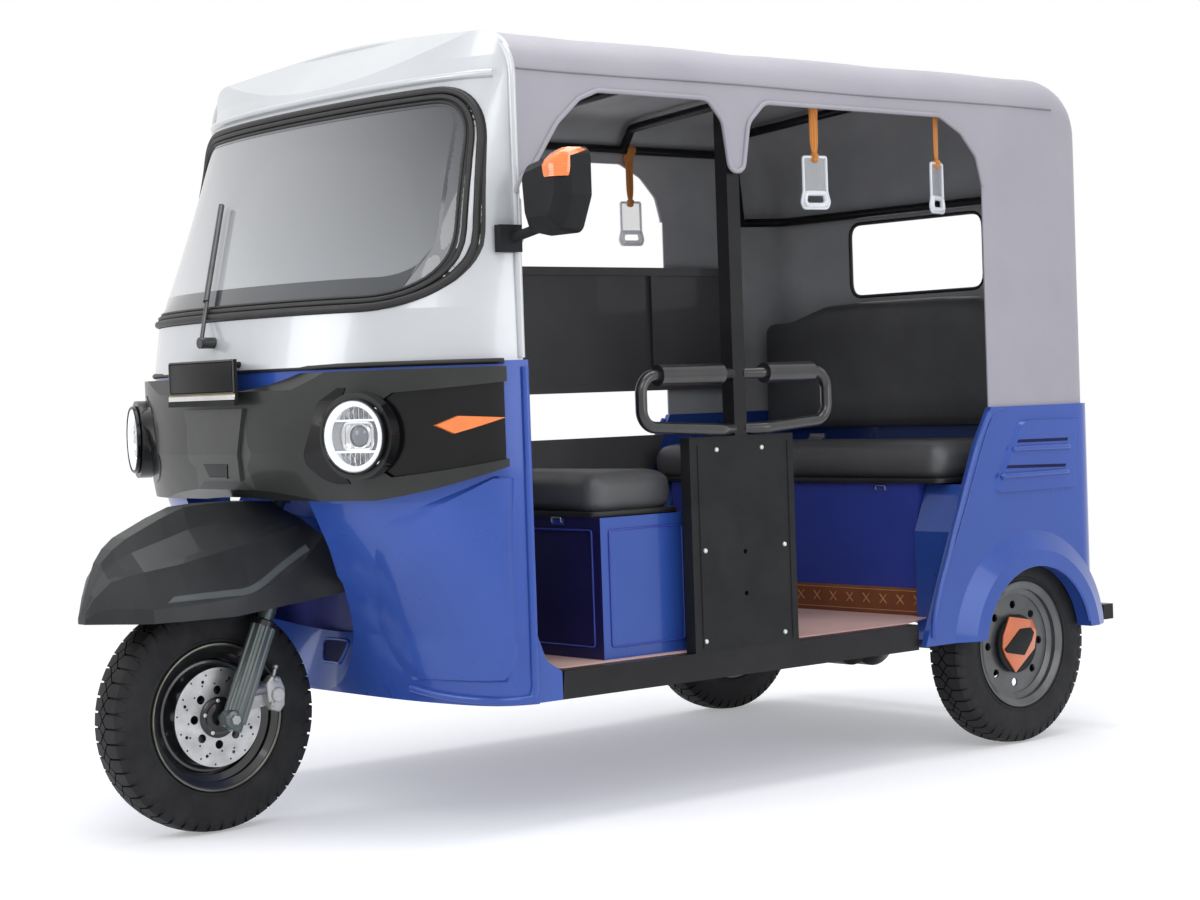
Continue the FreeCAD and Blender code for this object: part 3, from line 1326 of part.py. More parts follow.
cushion("driver_seat_cushion", "seat_half - wall / 2", "seat_front - wall / 2", "seat_rear", "seat_box_top", "seat_cushion")
cushion("rear_seat_cushion", "bench_wide", "bench_front - wall", "bench_rear - soft_gap", "bench_top", "bench_cushion")

back = new_body("rear_backrest")
sketch = new_sketch(back, "backrest_outline", "XZ", "-bench_rear")
low = "bench_top + bench_cushion + back_lift"
half_outline = [("back_wide", low), ("back_wide", "back_low"), ("bench_wide * 0.78", "back_low + wall / 2"),
                ("bench_wide * 0.52", "back_high"), ("bench_wide * 0.3", "back_high + wall / 4")]
add_loop(sketch, half_outline + [(f"-{x}", z) for x, z in reversed(half_outline)])
add_feature(back, "Pad", sketch, "canopy_rear - canopy_skin - bench_rear - wall * 0.6", backwards=True)



def hinge_shape(rear, height, foot_top, backrest_low):
    """Hinge of a lifting seat: a rod behind the cushion's rear edge, held by a bracket on the box."""
    y, radius = rear + S.hinge_reach, S.hinge_radius
    x, far = S.hinge_side, S.hinge_side + S.hinge_length
    pin = Part.makeCylinder(radius, S.hinge_length, Vector(x, y, height), Vector(1, 0, 0))
    foot = block((x, rear, foot_top - radius * 4), (far, y + radius, foot_top))
    shapes = [pin, foot]
    if backrest_low > foot_top:
        shapes.append(block((x, y + radius / 2, foot_top - radius * 4), (far, y + radius * 2, backrest_low)))
    return fused(shapes)


seat_hinges = both_sides(hinge_shape(S.seat_rear, S.seat_box_top, S.seat_box_top, S.seat_box_top)).Solids
bench_hinge = hinge_shape(S.bench_rear, S.bench_top + S.bench_cushion - S.hinge_drop,
                          S.bench_top - S.soft_gap, S.bench_top + S.bench_cushion + S.back_lift)
computed("seat_hinges", Part.makeCompound(seat_hinges + both_sides(bench_hinge).Solids))

battery = new_body("battery_pack")
sketch = new_sketch(battery, "battery_outline", "XY", "bench_low + seat_wall")
add_box(sketch, "-battery_half", "battery_half", "bench_front + wall * 2", "bench_front + wall * 2 + battery_length")
add_feature(battery, "Pad", sketch, "battery_height")


def side_panels_shape():
    """Right side of the cabin: framed upper panel and low wall, from the middle pillar to the tail."""
    front = S.board_centre + S.board_half
    start = S.board_centre + S.pillar_width / 2
    outer = -S.side_half + S.roof_tube_gap
    inner = outer + S.side_panel_thick
    panel = block((outer, start, S.side_panel_low), (inner, S.side_panel_rear, S.side_panel_high))
    shapes = [panel]
    for low in (S.side_panel_low, S.side_panel_high - S.side_rail):
        shapes.append(block((outer, start, low), (inner + S.side_rail * 0.5, S.side_panel_rear, low + S.side_rail)))
    for y in (start, S.bench_front + S.wall * 2, S.side_panel_rear - S.side_rail):
        shapes.append(block((outer, y, S.side_panel_low), (inner + S.side_rail * 0.5, y + S.side_rail, S.side_panel_high)))
    edge = quarter_edge()
    wall = prism_x([(front, S.floor_top), (edge[0][0] + (edge[1][0] - edge[0][0]) * 0.22, S.floor_top), edge[1],
                    (edge[2][0], edge[2][1]), (edge[2][0] + (S.door_rear - edge[2][0]) * 0.3, S.side_wall_top),
                    (front, S.side_wall_top)], outer, inner)
    return Part.makeCompound([fused(shapes), wall])


computed("right_side_panels", side_panels_shape())


def strap_shape(x, y):
    """Webbing loop round the roof rail with a rigid handle hanging from it."""
    top = rail_place()[1] - S.roof_tube
    web = block((x - S.strap_thick, y - S.strap_width / 2, top - S.strap_drop), (x + S.strap_thick, y + S.strap_width / 2, top))
    frame = block((x - S.handle_thick, y - S.handle_half, top - S.strap_drop - S.handle_tall),
                  (x + S.handle_thick, y + S.handle_half, top - S.strap_drop))
    hole = block((x - S.wall, y - S.handle_half * 0.68, top - S.strap_drop - S.handle_tall * 0.86),
                 (x + S.wall, y + S.handle_half * 0.68, top - S.strap_drop - S.handle_tall * 0.22))
    frame = frame.makeFillet(S.handle_thick * 1.4, [edge for edge in frame.Edges if len(edge.Vertexes) == 2
                                                    and abs(edge.tangentAt(0).x) > 1 - 1e-6])
    return fused([web, frame.cut(hole)])


left_straps = [strap_shape(rail_place()[0], y) for y in (S.strap_front, S.strap_rear)]
computed("grab_straps", Part.makeCompound([shape for strap in left_straps for shape in (strap, mirrored(strap))]))


def plate_holder_shape():
    """Blank number plate in a frame with a bright strip, on two bosses from the nose."""
    plate = block((-S.plate_half, S.plate_front, S.plate_low), (S.plate_half, S.plate_front + S.plate_thick, S.plate_high))
    shapes = [plate, block((-S.plate_half, S.plate_front - S.plate_thick, S.plate_low - S.plate_strip),
                           (S.plate_half, S.plate_front + S.plate_thick, S.plate_low))]
    for x in (-S.plate_half * 0.6, S.plate_half * 0.6):
        boss = rod((x, S.plate_front, S.plate_high - S.plate_strip), (x, S.cab_front + S.wall * 0.8, S.plate_high - S.plate_strip), S.plate_strip * 0.6)
        shapes.append(boss)
    holes = [rod((x, 0, S.plate_middle), (x, S.cab_rear, S.plate_middle), S.plate_hole) for x in (-S.plate_hole_x, S.plate_hole_x)]
    shape = fused(shapes).cut(cab_solid(0)).cut(Part.makeCompound(holes))
    return max(shape.Solids, key=lambda solid: solid.Volume)


computed("plate_holder", plate_holder_shape())


def mirror_shape():
    """Left mirror: clamp on the cab's rear edge, short arm and a tapered housing."""
    clamp = block((S.cab_half, S.cab_rear - S.mirror_clamp, S.mirror_z - S.mirror_clamp * 0.5),
                  (S.cab_half + S.wall * 0.6, S.cab_rear, S.mirror_z + S.mirror_clamp * 0.5))
    clamp = clamp.fuse(block((S.cab_half * 0.985, S.cab_rear - S.mirror_clamp, S.mirror_z - S.mirror_clamp * 0.5),
                             (S.cab_half, S.cab_rear, S.mirror_z + S.mirror_clamp * 0.5)).cut(cab_solid(0)))
    arm = rod((S.cab_half + S.wall * 0.3, S.cab_rear - S.mirror_clamp * 0.4, S.mirror_z),
              (S.mirror_x - S.mirror_half * 0.5, S.mirror_y, S.mirror_z + S.mirror_rise), S.mirror_arm)
    sections = []
    for y, size, drop in ((S.mirror_y - S.mirror_deep, 0.62, 0), (S.mirror_y - S.mirror_deep * 0.55, 0.93, 0),
                          (S.mirror_y + S.mirror_deep * 0.25, 1, 0)):
        half = S.mirror_half * size
        tall = S.mirror_tall * size
        middle = S.mirror_z + S.mirror_tall * 0.5
        corners = [Vector(S.mirror_x - half * 0.85, y, middle - tall * 0.5), Vector(S.mirror_x + half * 0.6, y, middle - tall * 0.5),
                   Vector(S.mirror_x + half, y, middle - tall * 0.1), Vector(S.mirror_x + half, y, middle + tall * 0.48), Vector(S.mirror_x - half, y, middle + tall * 0.3)]
        sections.append(rounded(corners, [S.mirror_round * size] * 5))
    housing = Part.makeLoft(sections, True, True)
    return fused([clamp, arm, housing])


mirror = mirror_shape()
computed("mirror", max(mirror.Solids, key=lambda solid: solid.Volume))


def on_cab(x, z, stand):
    """Point at a distance in front of the cab's outer face."""
    ray = Part.LineSegment(Vector(x, 0, z), Vector(x, S.cab_rear, z)).toShape()
    return Vector(x, ray.common(cab_solid(0)).BoundBox.YMin - stand, z)


def wiper_shape():
    """Wiper from its spindle on the cowl, blade lying along the windscreen."""
    stand = S.seal_stand + S.wiper_arm * 2
    foot = on_cab(-S.wiper_x, S.wiper_z, 0)
    elbow = foot - Vector(0, S.wiper_boss * 2.6, 0)
    tip = on_cab(-S.wiper_tip_x, S.wiper_tip_z, stand)
    run = (tip - elbow).normalize() * S.wiper_blade / 2
    ends = [on_cab(tip.x + run.x * way, tip.z + run.z * way, stand) for way in (-1, 1)]
    shapes = [rod(foot + Vector(0, S.wall / 2, 0), elbow - Vector(0, S.wiper_arm, 0), S.wiper_boss),
              rod(elbow, tip, S.wiper_arm), rod(ends[0], ends[1], S.wiper_arm * 1.4)]
    return fused(shapes).cut(cab_solid(0))


computed("wiper", wiper_shape())


def dashboard_shape():
    """Shelf behind the windscreen's foot, with a binnacle in front of the handlebar."""
    low = S.seam_height - S.dash_deep
    layer = block((-S.body_half, 0, low), (S.body_half, S.dash_rear, S.seam_height))
    shelf = apron_solid(S.wall).common(layer)
    hollow = block((-S.cab_half, S.dash_rear - S.dash_deep * 3, low - S.wall), (S.cab_half, S.dash_rear - S.wall * 0.5, S.seam_height - S.wall * 0.5))
    slope = prism_x([(S.dash_rear - S.dash_deep * 2, S.seam_height), (S.dash_rear - S.wall, S.seam_height),
                     (S.dash_rear - S.dash_deep * 0.8, S.seam_height + S.dash_rise), (S.dash_rear - S.dash_deep * 1.6, S.seam_height + S.dash_rise)],
                    -S.dash_half, S.dash_half)
    return fused([shelf.cut(steering_rod(0, 0, S.head_low, S.head_high, S.head_radius + S.soft_gap)), slope])


computed("dashboard", dashboard_shape())


doc.recompute()
for item in doc.Objects:
    if set(item.State) & {"Invalid", "Error"}:
        raise RuntimeError(f"{item.Label} failed: {item.State}")
for item in parts:
    if item.Shape.isNull() or not item.Shape.isValid():
        raise RuntimeError(f"{item.Label} has no valid shape")
for item in parts:
    item.Shape.exportStep(f"parts/{item.Label}.step")
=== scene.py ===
"""Looks of the auto rickshaw: materials, soft goods, trim, studio and camera."""
import math

import bmesh
import bpy
from mathutils import Matrix, Vector, noise
from mathutils.bvhtree import BVHTree


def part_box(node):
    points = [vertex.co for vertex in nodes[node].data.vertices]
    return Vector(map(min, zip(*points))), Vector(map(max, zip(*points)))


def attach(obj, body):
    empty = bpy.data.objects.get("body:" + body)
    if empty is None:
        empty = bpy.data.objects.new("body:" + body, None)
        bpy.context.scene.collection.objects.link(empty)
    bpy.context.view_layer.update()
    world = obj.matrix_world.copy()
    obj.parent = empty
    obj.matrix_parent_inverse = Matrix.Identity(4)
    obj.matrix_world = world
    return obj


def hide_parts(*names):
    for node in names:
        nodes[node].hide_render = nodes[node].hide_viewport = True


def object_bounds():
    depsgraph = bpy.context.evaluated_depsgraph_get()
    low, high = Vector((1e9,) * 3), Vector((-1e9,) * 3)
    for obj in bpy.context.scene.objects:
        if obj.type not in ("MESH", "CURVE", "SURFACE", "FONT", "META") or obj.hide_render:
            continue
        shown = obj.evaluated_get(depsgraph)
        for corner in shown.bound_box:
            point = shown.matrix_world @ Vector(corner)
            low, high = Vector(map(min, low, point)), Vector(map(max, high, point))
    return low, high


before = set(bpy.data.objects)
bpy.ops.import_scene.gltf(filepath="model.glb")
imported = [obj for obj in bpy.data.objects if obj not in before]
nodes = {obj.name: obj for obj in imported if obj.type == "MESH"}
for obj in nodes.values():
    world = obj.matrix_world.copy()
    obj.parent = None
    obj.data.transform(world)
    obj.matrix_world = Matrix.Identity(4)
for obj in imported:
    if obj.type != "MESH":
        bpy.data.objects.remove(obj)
cad_low, cad_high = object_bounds()

# The origin is the middle of the vehicle's box, which the mirror moves sideways from the plane of symmetry
AXLE_Y = -1.1275
CENTRE_X = -0.094
SIDES = (("left", 1), ("right", -1))


def at(x, y, z):
    """Point in metres from millimetres counted from the ground under the front axle."""
    return Vector((x / 1000 + CENTRE_X, y / 1000 + AXLE_Y, z / 1000))


# Materials

def shader(name):
    material = bpy.data.materials.new(name)
    material.use_nodes = True
    tree = material.node_tree
    return material, tree, tree.nodes["Principled BSDF"]


def settle(node, values):
    """Sets a node's inputs by name."""
    for key, value in values.items():
        node.inputs[key].default_value = value


def add_node(tree, kind, **values):
    node = tree.nodes.new(kind)
    for key, value in values.items():
        if key in node.inputs:
            node.inputs[key].default_value = value
        else:
            setattr(node, key, value)
    return node


def wire(tree, source, output, target, entry):
    """Links one node's output to another node's input."""
    tree.links.new(source.outputs[output], target.inputs[entry])


def noise_field(tree, scale, detail, rough=0.55, stretch=(1, 1, 1)):
    """Noise in the piece's own space, stretched along an axis for grain."""
    coords = add_node(tree, "ShaderNodeTexCoord")
    mapping = add_node(tree, "ShaderNodeMapping", Scale=stretch)
    field = add_node(tree, "ShaderNodeTexNoise", Scale=scale, Detail=detail, Roughness=rough)
    wire(tree, coords, "Object", mapping, "Vector")
    wire(tree, mapping, "Vector", field, "Vector")
    return field


def ramp(tree, source, output, low, high, start=0.35, end=0.65):
    """Colour ramp between two colours, driven by a node's output."""
    node = add_node(tree, "ShaderNodeValToRGB")
    for index, (place, colour) in enumerate(((start, low), (end, high))):
        node.color_ramp.elements[index].position = place
        node.color_ramp.elements[index].color = (*colour, 1)
    wire(tree, source, output, node, "Fac")
    return node


def bump(tree, source, output, strength, distance, before=None):
    node = add_node(tree, "ShaderNodeBump", Strength=strength, Distance=distance)
    wire(tree, source, output, node, "Height")
    if before is not None:
        wire(tree, before, "Normal", node, "Normal")
    return node


def drifting(tree, base, scale, detail, low, high):
    """Base colour that drifts slowly between two colours."""
    field = noise_field(tree, scale, detail)
    colour = ramp(tree, field, "Fac", low, high)
    wire(tree, colour, "Color", base, "Base Color")
    return colour


def uneven_gloss(tree, base, field, rough):
    """Roughness that a noise field moves between two values."""
    gloss = add_node(tree, "ShaderNodeMapRange")
    settle(gloss, {"To Min": rough[0], "To Max": rough[1]})
    wire(tree, field, "Fac", gloss, "Value")
    wire(tree, gloss, "Result", base, "Roughness")


def finish_of(name, low, high, rough, metal, coat, patch, grain, depth, strength, specular=0.5,
              stretch=(1, 1, 1)):
    """Material with slow colour drift, uneven gloss and fine surface grain.

    It takes two colours, the range of roughness, the weights of metal and coat, how closely patches and
    grain repeat, and the grain's depth in metres and its strength.
    """
    material, tree, base = shader(name)
    drifting(tree, base, patch, 4.0, low, high)
    uneven_gloss(tree, base, noise_field(tree, patch * 5, 3.0), rough)
    fine = noise_field(tree, grain, 2.0, 0.6, stretch)
    surface = bump(tree, fine, "Fac", strength, depth)
    wire(tree, surface, "Normal", base, "Normal")
    settle(base, {"Metallic": metal, "Coat Weight": coat, "Coat Roughness": 0.06,
                  "Specular IOR Level": specular})
    return material


def leather_of(name, low, high, rough, cell, depth):
    """Coated fabric: pebbled grain from small cells over a slow colour drift."""
    material, tree, base = shader(name)
    drifting(tree, base, 5.0, 4.0, low, high)
    coords = add_node(tree, "ShaderNodeTexCoord")
    cells = add_node(tree, "ShaderNodeTexVoronoi", Scale=cell, feature="DISTANCE_TO_EDGE")
    wire(tree, coords, "Object", cells, "Vector")
    pebble = bump(tree, cells, "Distance", 0.35, depth)
    folds = noise_field(tree, 9.0, 5.0)
    folded = bump(tree, folds, "Fac", 0.25, 0.006, pebble)
    wire(tree, folded, "Normal", base, "Normal")
    uneven_gloss(tree, base, folds, rough)
    settle(base, {"Specular IOR Level": 0.45})
    return material


def weave_of(name, low, high):
    """Woven webbing: two crossed thread waves in colour and relief."""
    material, tree, base = shader(name)
    coords = add_node(tree, "ShaderNodeTexCoord")
    both = add_node(tree, "ShaderNodeMath", operation="MULTIPLY")
    for entry, direction in enumerate(("X", "Z")):
        threads = add_node(tree, "ShaderNodeTexWave", Scale=140.0, Distortion=0.4, bands_direction=direction)
        wire(tree, coords, "Object", threads, "Vector")
        wire(tree, threads, "Fac", both, entry)
    colour = ramp(tree, both, "Value", low, high, 0.1, 0.9)
    relief = bump(tree, both, "Value", 0.5, 0.0006)
    wire(tree, colour, "Color", base, "Base Color")
    wire(tree, relief, "Normal", base, "Normal")
    settle(base, {"Roughness": 0.75, "Sheen Weight": 0.3})
    return material


def glass_of(name, tint, rough, alpha):
    """Thin clear or tinted sheet that shows what is behind it."""
    material, tree, base = shader(name)
    drifting(tree, base, 14.0, 5.0, tint, [min(1, value * 1.06) for value in tint])
    settle(base, {"Roughness": rough, "Alpha": alpha, "Specular IOR Level": 0.7, "Coat Weight": 0.6})
    return material


def screen_glass():
    """Tinted windscreen with a painted reflection: near white in the lower right corner, deepening to dark
    in the upper left one.
    """
    material, tree, base = shader("screen_glass")
    coords = add_node(tree, "ShaderNodeTexCoord")
    split = add_node(tree, "ShaderNodeSeparateXYZ")
    wire(tree, coords, "Object", split, "Vector")
    both = add_node(tree, "ShaderNodeMath", operation="ADD")
    for entry, (axis, low, high, share) in enumerate((("X", -0.68, 0.49, 0.6), ("Z", 1.19, 1.64, 0.4))):
        part = add_node(tree, "ShaderNodeMapRange")
        settle(part, {"From Min": low, "From Max": high, "To Max": share})
        wire(tree, split, axis, part, "Value")
        wire(tree, part, "Result", both, entry)
    # Painted reflection: the colour runs from near white to dark across the glass
    colour = ramp(tree, both, "Value", (0.82, 0.83, 0.84), (0.07, 0.075, 0.08), 0.0, 0.95)
    middle = colour.color_ramp.elements.new(0.45)
    middle.color = (0.36, 0.37, 0.38, 1)
    wire(tree, colour, "Color", base, "Base Color")
    settle(base, {"Roughness": 0.06, "Alpha": 0.9, "Coat Weight": 0.6})
    return material


def lamp_of(name, colour, strength):
    """Lens with a faint glow of its own and a fine ribbed surface."""
    material, tree, base = shader(name)
    tint = drifting(tree, base, 30.0, 2.0, colour, [min(1, value * 1.1) for value in colour])
    wire(tree, tint, "Color", base, "Emission Color")
    coords = add_node(tree, "ShaderNodeTexCoord")
    ribs = add_node(tree, "ShaderNodeTexWave", Scale=55.0, Distortion=0.1, bands_direction="Z")
    wire(tree, coords, "Object", ribs, "Vector")
    relief = bump(tree, ribs, "Fac", 0.25, 0.0006)
    wire(tree, relief, "Normal", base, "Normal")
    settle(base, {"Emission Strength": strength, "Roughness": 0.12, "Coat Weight": 1.0})
    return material

BLUE = finish_of("body_blue_paint", (0.026, 0.077, 0.35), (0.034, 0.092, 0.41), (0.24, 0.34), 0.1, 0.4, 2.5,
                 260.0, 0.0001, 0.04, 0.28)
BLUE_DARK = finish_of("inside_blue_paint", (0.036, 0.06, 0.36), (0.045, 0.078, 0.44), (0.3, 0.42), 0.1, 0.35,
                      3.0, 260.0, 0.0001, 0.04, 0.3)
# Deeper blue for the shaded front wall of the driver's seat box: painted shade
BLUE_PAINTED_SHADE = finish_of("box_front_painted_shade", (0.014, 0.012, 0.075), (0.02, 0.018, 0.1), (0.35, 0.45), 0.1, 0.2,
                      3.0, 1600.0, 0.0001, 0.03, 0.25)
SILVER = finish_of("cab_silver_paint", (0.57, 0.585, 0.6), (0.64, 0.655, 0.67), (0.26, 0.36), 0.15, 0.8, 2.0,
                   260.0, 0.0001, 0.04)
BLACK_GLOSS = finish_of("panel_black_gloss", (0.005, 0.005, 0.006), (0.009, 0.009, 0.01), (0.16, 0.24), 0.0,
                        0.1, 4.0, 1500.0, 0.0001, 0.04, 0.22)
BLACK_PAINT = finish_of("frame_black_paint", (0.007, 0.007, 0.008), (0.013, 0.013, 0.014), (0.3, 0.45), 0.1,
                        0.1, 8.0, 1200.0, 0.0002, 0.1, 0.2)
BLACK_PLASTIC = finish_of("moulded_black", (0.013, 0.0135, 0.014), (0.02, 0.0205, 0.022), (0.48, 0.6), 0.0,
                          0.0, 9.0, 1500.0, 0.0004, 0.2, 0.15)
FENDER_PLASTIC = finish_of("fender_charcoal", (0.018, 0.019, 0.02), (0.028, 0.029, 0.031), (0.38, 0.5), 0.0,
                           0.1, 6.0, 1500.0, 0.0003, 0.25, 0.25)
RUBBER = finish_of("seal_rubber", (0.007, 0.007, 0.008), (0.013, 0.013, 0.014), (0.4, 0.55), 0.0, 0.0, 12.0,
                   1300.0, 0.0003, 0.2)
TYRE = finish_of("tyre_rubber", (0.011, 0.011, 0.012), (0.022, 0.022, 0.023), (0.55, 0.72), 0.0, 0.0, 16.0,
                 900.0, 0.0005, 0.3, 0.25)
STEEL = finish_of("bare_steel", (0.3, 0.31, 0.31), (0.42, 0.43, 0.43), (0.3, 0.45), 0.85, 0.0, 14.0, 700.0,
                  0.0003, 0.2, 0.5, (1, 1, 8))
FORK_PAINT = finish_of("fork_grey_green", (0.085, 0.11, 0.105), (0.13, 0.155, 0.15), (0.3, 0.42), 0.5, 0.4,
                       9.0, 1200.0, 0.0002, 0.15)
DISC_STEEL = finish_of("disc_steel", (0.36, 0.365, 0.37), (0.5, 0.5, 0.505), (0.25, 0.4), 0.9, 0.0, 22.0,
                       500.0, 0.0002, 0.2)
RIM_BLACK = finish_of("rim_black", (0.01, 0.01, 0.011), (0.02, 0.02, 0.021), (0.25, 0.38), 0.2, 0.6, 12.0,
                      1000.0, 0.0002, 0.12)
RIM_GREY = finish_of("rim_grey", (0.075, 0.078, 0.08), (0.11, 0.115, 0.118), (0.3, 0.45), 0.4, 0.3, 12.0,
                     1000.0, 0.0002, 0.15)
ORANGE = finish_of("cap_orange", (0.62, 0.13, 0.035), (0.74, 0.17, 0.045), (0.25, 0.35), 0.0, 0.8, 12.0,
                   1200.0, 0.0001, 0.1)
GREY_PANEL = finish_of("panel_grey", (0.075, 0.076, 0.08), (0.1, 0.101, 0.106), (0.4, 0.5), 0.2, 0.2, 3.0,
                       1200.0, 0.0002, 0.1)
CHROME = finish_of("trim_chrome", (0.62, 0.62, 0.63), (0.74, 0.74, 0.75), (0.08, 0.16), 1.0, 0.0, 10.0,
                   1200.0, 0.0001, 0.05)
HOOD = leather_of("hood_vinyl", (0.36, 0.345, 0.385), (0.385, 0.37, 0.41), (0.38, 0.48), 520.0, 0.0002)
LINING = leather_of("hood_lining", (0.42, 0.425, 0.43), (0.5, 0.505, 0.51), (0.6, 0.75), 600.0, 0.0003)
SEAT = leather_of("seat_vinyl", (0.078, 0.079, 0.082), (0.1, 0.101, 0.105), (0.42, 0.52), 380.0, 0.0004)
WEB = weave_of("strap_webbing", (0.52, 0.17, 0.02), (0.8, 0.33, 0.06))
GLASS = screen_glass()
CLEAR = glass_of("clear_plastic", (0.78, 0.8, 0.82), 0.05, 0.22)
AMBER = lamp_of("amber_lens", (0.85, 0.2, 0.03), 0.12)
RED = lamp_of("red_lens", (0.45, 0.012, 0.012), 0.05)
WHITE_GLOW = lamp_of("halo_white", (0.8, 0.84, 0.9), 0.5)
PROJECTOR = finish_of("projector_lens", (0.03, 0.035, 0.045), (0.09, 0.1, 0.12), (0.04, 0.1), 0.2, 1.0, 60.0,
                      1500.0, 0.0001, 0.02)
LENS = glass_of("lamp_lens_clear", (0.85, 0.87, 0.9), 0.02, 0.1)
PANEL_SATIN = finish_of("panel_satin", (0.02, 0.021, 0.02), (0.031, 0.032, 0.031), (0.3, 0.4), 0.1, 0.2, 5.0,
                        1400.0, 0.0002, 0.08, 0.3)
WIPER_GREY = finish_of("wiper_grey", (0.05, 0.05, 0.052), (0.08, 0.08, 0.083), (0.3, 0.4), 0.5, 0.2, 14.0,
                       900.0, 0.0002, 0.1)

# Which solids have which finish
FINISHES = (
    (BLACK_PAINT, "chassis_frame side_sill_left side_sill_right roof_frame rear_bumper rear_axle"),
    (BLACK_PLASTIC, "side_board_left side_board_right plate_holder mirror dashboard tail_lamps handlebar"),
    (BLUE, "front_apron rear_quarter_left rear_quarter_right tail_panel driver_seat_box"),
    (BLUE_DARK, "floor_pan rear_seat_box"), (RIM_BLACK, "armrest_loops front_rim"),
    (PANEL_SATIN, "lamp_panel"), (CHROME, "headlamps"), (AMBER, "turn_signals"), (SILVER, "cab_front"),
    (GLASS, "windscreen_glass"), (RUBBER, "windscreen_seal"), (WIPER_GREY, "wiper"), (HOOD, "canopy"),
    (WEB, "grab_straps"),
    (STEEL, "seat_hinges leaf_springs brake_caliper"), (GREY_PANEL, "battery_pack right_side_panels"),
    (SEAT, "driver_seat_cushion rear_seat_cushion rear_backrest"), (FORK_PAINT, "fork"),
    (FENDER_PLASTIC, "front_fender"), (TYRE, "front_tyre rear_tyre_left rear_tyre_right"),
    (DISC_STEEL, "brake_disc"), (RIM_GREY, "rear_rim_left rear_rim_right"),
    (ORANGE, "hub_cap_left hub_cap_right"),
)
for material, names in FINISHES:
    for name in names.split():
        nodes[name].data.materials.clear()
        nodes[name].data.materials.append(material)
# The front wall of the driver's seat box lies in shade, painted a deeper blue as painted shade
nodes["driver_seat_box"].data.materials.append(BLUE_PAINTED_SHADE)
for face in nodes["driver_seat_box"].data.polygons:
    face.material_index = 1 if face.normal.y < -0.7 else 0


# Building blocks

def link(piece, body, *materials):
    """Adds a piece to the scene with its materials, riding on a body."""
    bpy.context.scene.collection.objects.link(piece)
    for material in materials:
        piece.data.materials.append(material)
    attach(piece, body)
    return piece


def face_outwards(mesh):
    form = bmesh.new()
    form.from_mesh(mesh)
    bmesh.ops.recalc_face_normals(form, faces=form.faces)
    form.to_mesh(mesh)
    form.free()


def mesh_piece(name, points, faces, body, *materials, sharp=35):
    """Piece from points in metres, smooth but for edges sharper than an angle."""
    mesh = bpy.data.meshes.new(name)
    mesh.from_pydata([tuple(point) for point in points], [], faces)
    mesh.validate()
    face_outwards(mesh)
    soften(mesh, sharp)
    return link(bpy.data.objects.new(name, mesh), body, *materials)


def soften(mesh, sharp=35):
    mesh.polygons.foreach_set("use_smooth", [True] * len(mesh.polygons))
    mesh.set_sharp_from_angle(angle=math.radians(sharp))


def bake(piece, sharp=35):
    """Applies a piece's modifiers to its mesh."""
    bpy.context.view_layer.update()
    shape = piece.evaluated_get(bpy.context.evaluated_depsgraph_get())
    mesh = bpy.data.meshes.new_from_object(shape)
    piece.modifiers.clear()
    piece.data = mesh
    soften(mesh, sharp)
    return piece


def merged(shapes):
    """One list of points and faces from several."""
    points, faces = [], []
    for more_points, more_faces in shapes:
        start = len(points)
        points += more_points
        faces += [tuple(start + index for index in face) for face in more_faces]
    return points, faces


def rows_to_faces(rows, across, closed_rows=False, closed_across=False):
    """Quads between rows of points that were added one after another."""
    faces = []
    for row in range(rows if closed_rows else rows - 1):
        this = row * across
        following = (row + 1) % rows * across
        for spot in range(across if closed_across else across - 1):
            beside = (spot + 1) % across
            faces.append((this + spot, this + beside, following + beside, following + spot))
    return faces


def fillet(points, radii, steps, closed=False):
    """Corner points replaced by arcs that touch both runs."""
    path = []
    count = len(points)
    for index, corner in enumerate(points):
        radius = radii[index] if isinstance(radii, (list, tuple)) else radii
        if radius <= 0 or (not closed and index in (0, count - 1)):
            path.append(Vector(corner))
            continue
        corner = Vector(corner)
        back = Vector(points[index - 1]) - corner
        ahead = Vector(points[(index + 1) % count]) - corner
        half = back.angle(ahead) / 2
        reach = min(radius / math.tan(half), back.length * 0.49, ahead.length * 0.49)
        start = corner + back.normalized() * reach
        end = corner + ahead.normalized() * reach
        for step in range(steps + 1):
            share = step / steps
            path.append(start.lerp(corner, share).lerp(corner.lerp(end, share), share))
    return path


def sweep(path, radius, sides, closed=False):
    """Round bar along a path in metres."""
    path = [Vector(point) for point in path]
    count = len(path)
    points = []
    before = None
    for index, spot in enumerate(path):
        ahead = path[(index + 1) % count] if closed or index < count - 1 else spot
        behind = path[index - 1] if closed or index > 0 else spot
        run = (ahead - behind).normalized()
        if before is None:
            side = run.cross(Vector((0, 0, 1)))
            side = run.cross(Vector((1, 0, 0))) if side.length < 0.05 else side
        else:
            side = before - run * before.dot(run)
        side.normalize()
        before = side
        up = side.cross(run)
        for turn in range(sides):
            angle = 2 * math.pi * turn / sides
            points.append(spot + side * math.cos(angle) * radius + up * math.sin(angle) * radius)
    faces = rows_to_faces(count, sides, closed, True)
    if not closed:
        faces.append(tuple(range(sides)))
        faces.append(tuple(count * sides - 1 - turn for turn in range(sides)))
    return points, faces


def tube_piece(name, path, radius, body, material, sides, closed=False):
    return mesh_piece(name, *sweep(path, radius, sides, closed), body, material, sharp=50)


def slab(outline, depth):
    """Prism from an outline in metres, pushed along a vector."""
    count = len(outline)
    points = [Vector(point) for point in outline] + [Vector(point) + Vector(depth) for point in outline]
    faces = [tuple(range(count)), tuple(range(2 * count - 1, count - 1, -1))]
    faces += [(spot, (spot + 1) % count, count + (spot + 1) % count, count + spot) for spot in range(count)]
    return points, faces


def chamfered(piece, width, segments=2):
    """Rounds a piece's sharp edges and applies it."""
    edge = piece.modifiers.new("edge", "BEVEL")
    edge.width = width
    edge.segments = segments
    edge.limit_method = "ANGLE"
    edge.angle_limit = math.radians(30)
    edge.harden_normals = False
    return bake(piece)


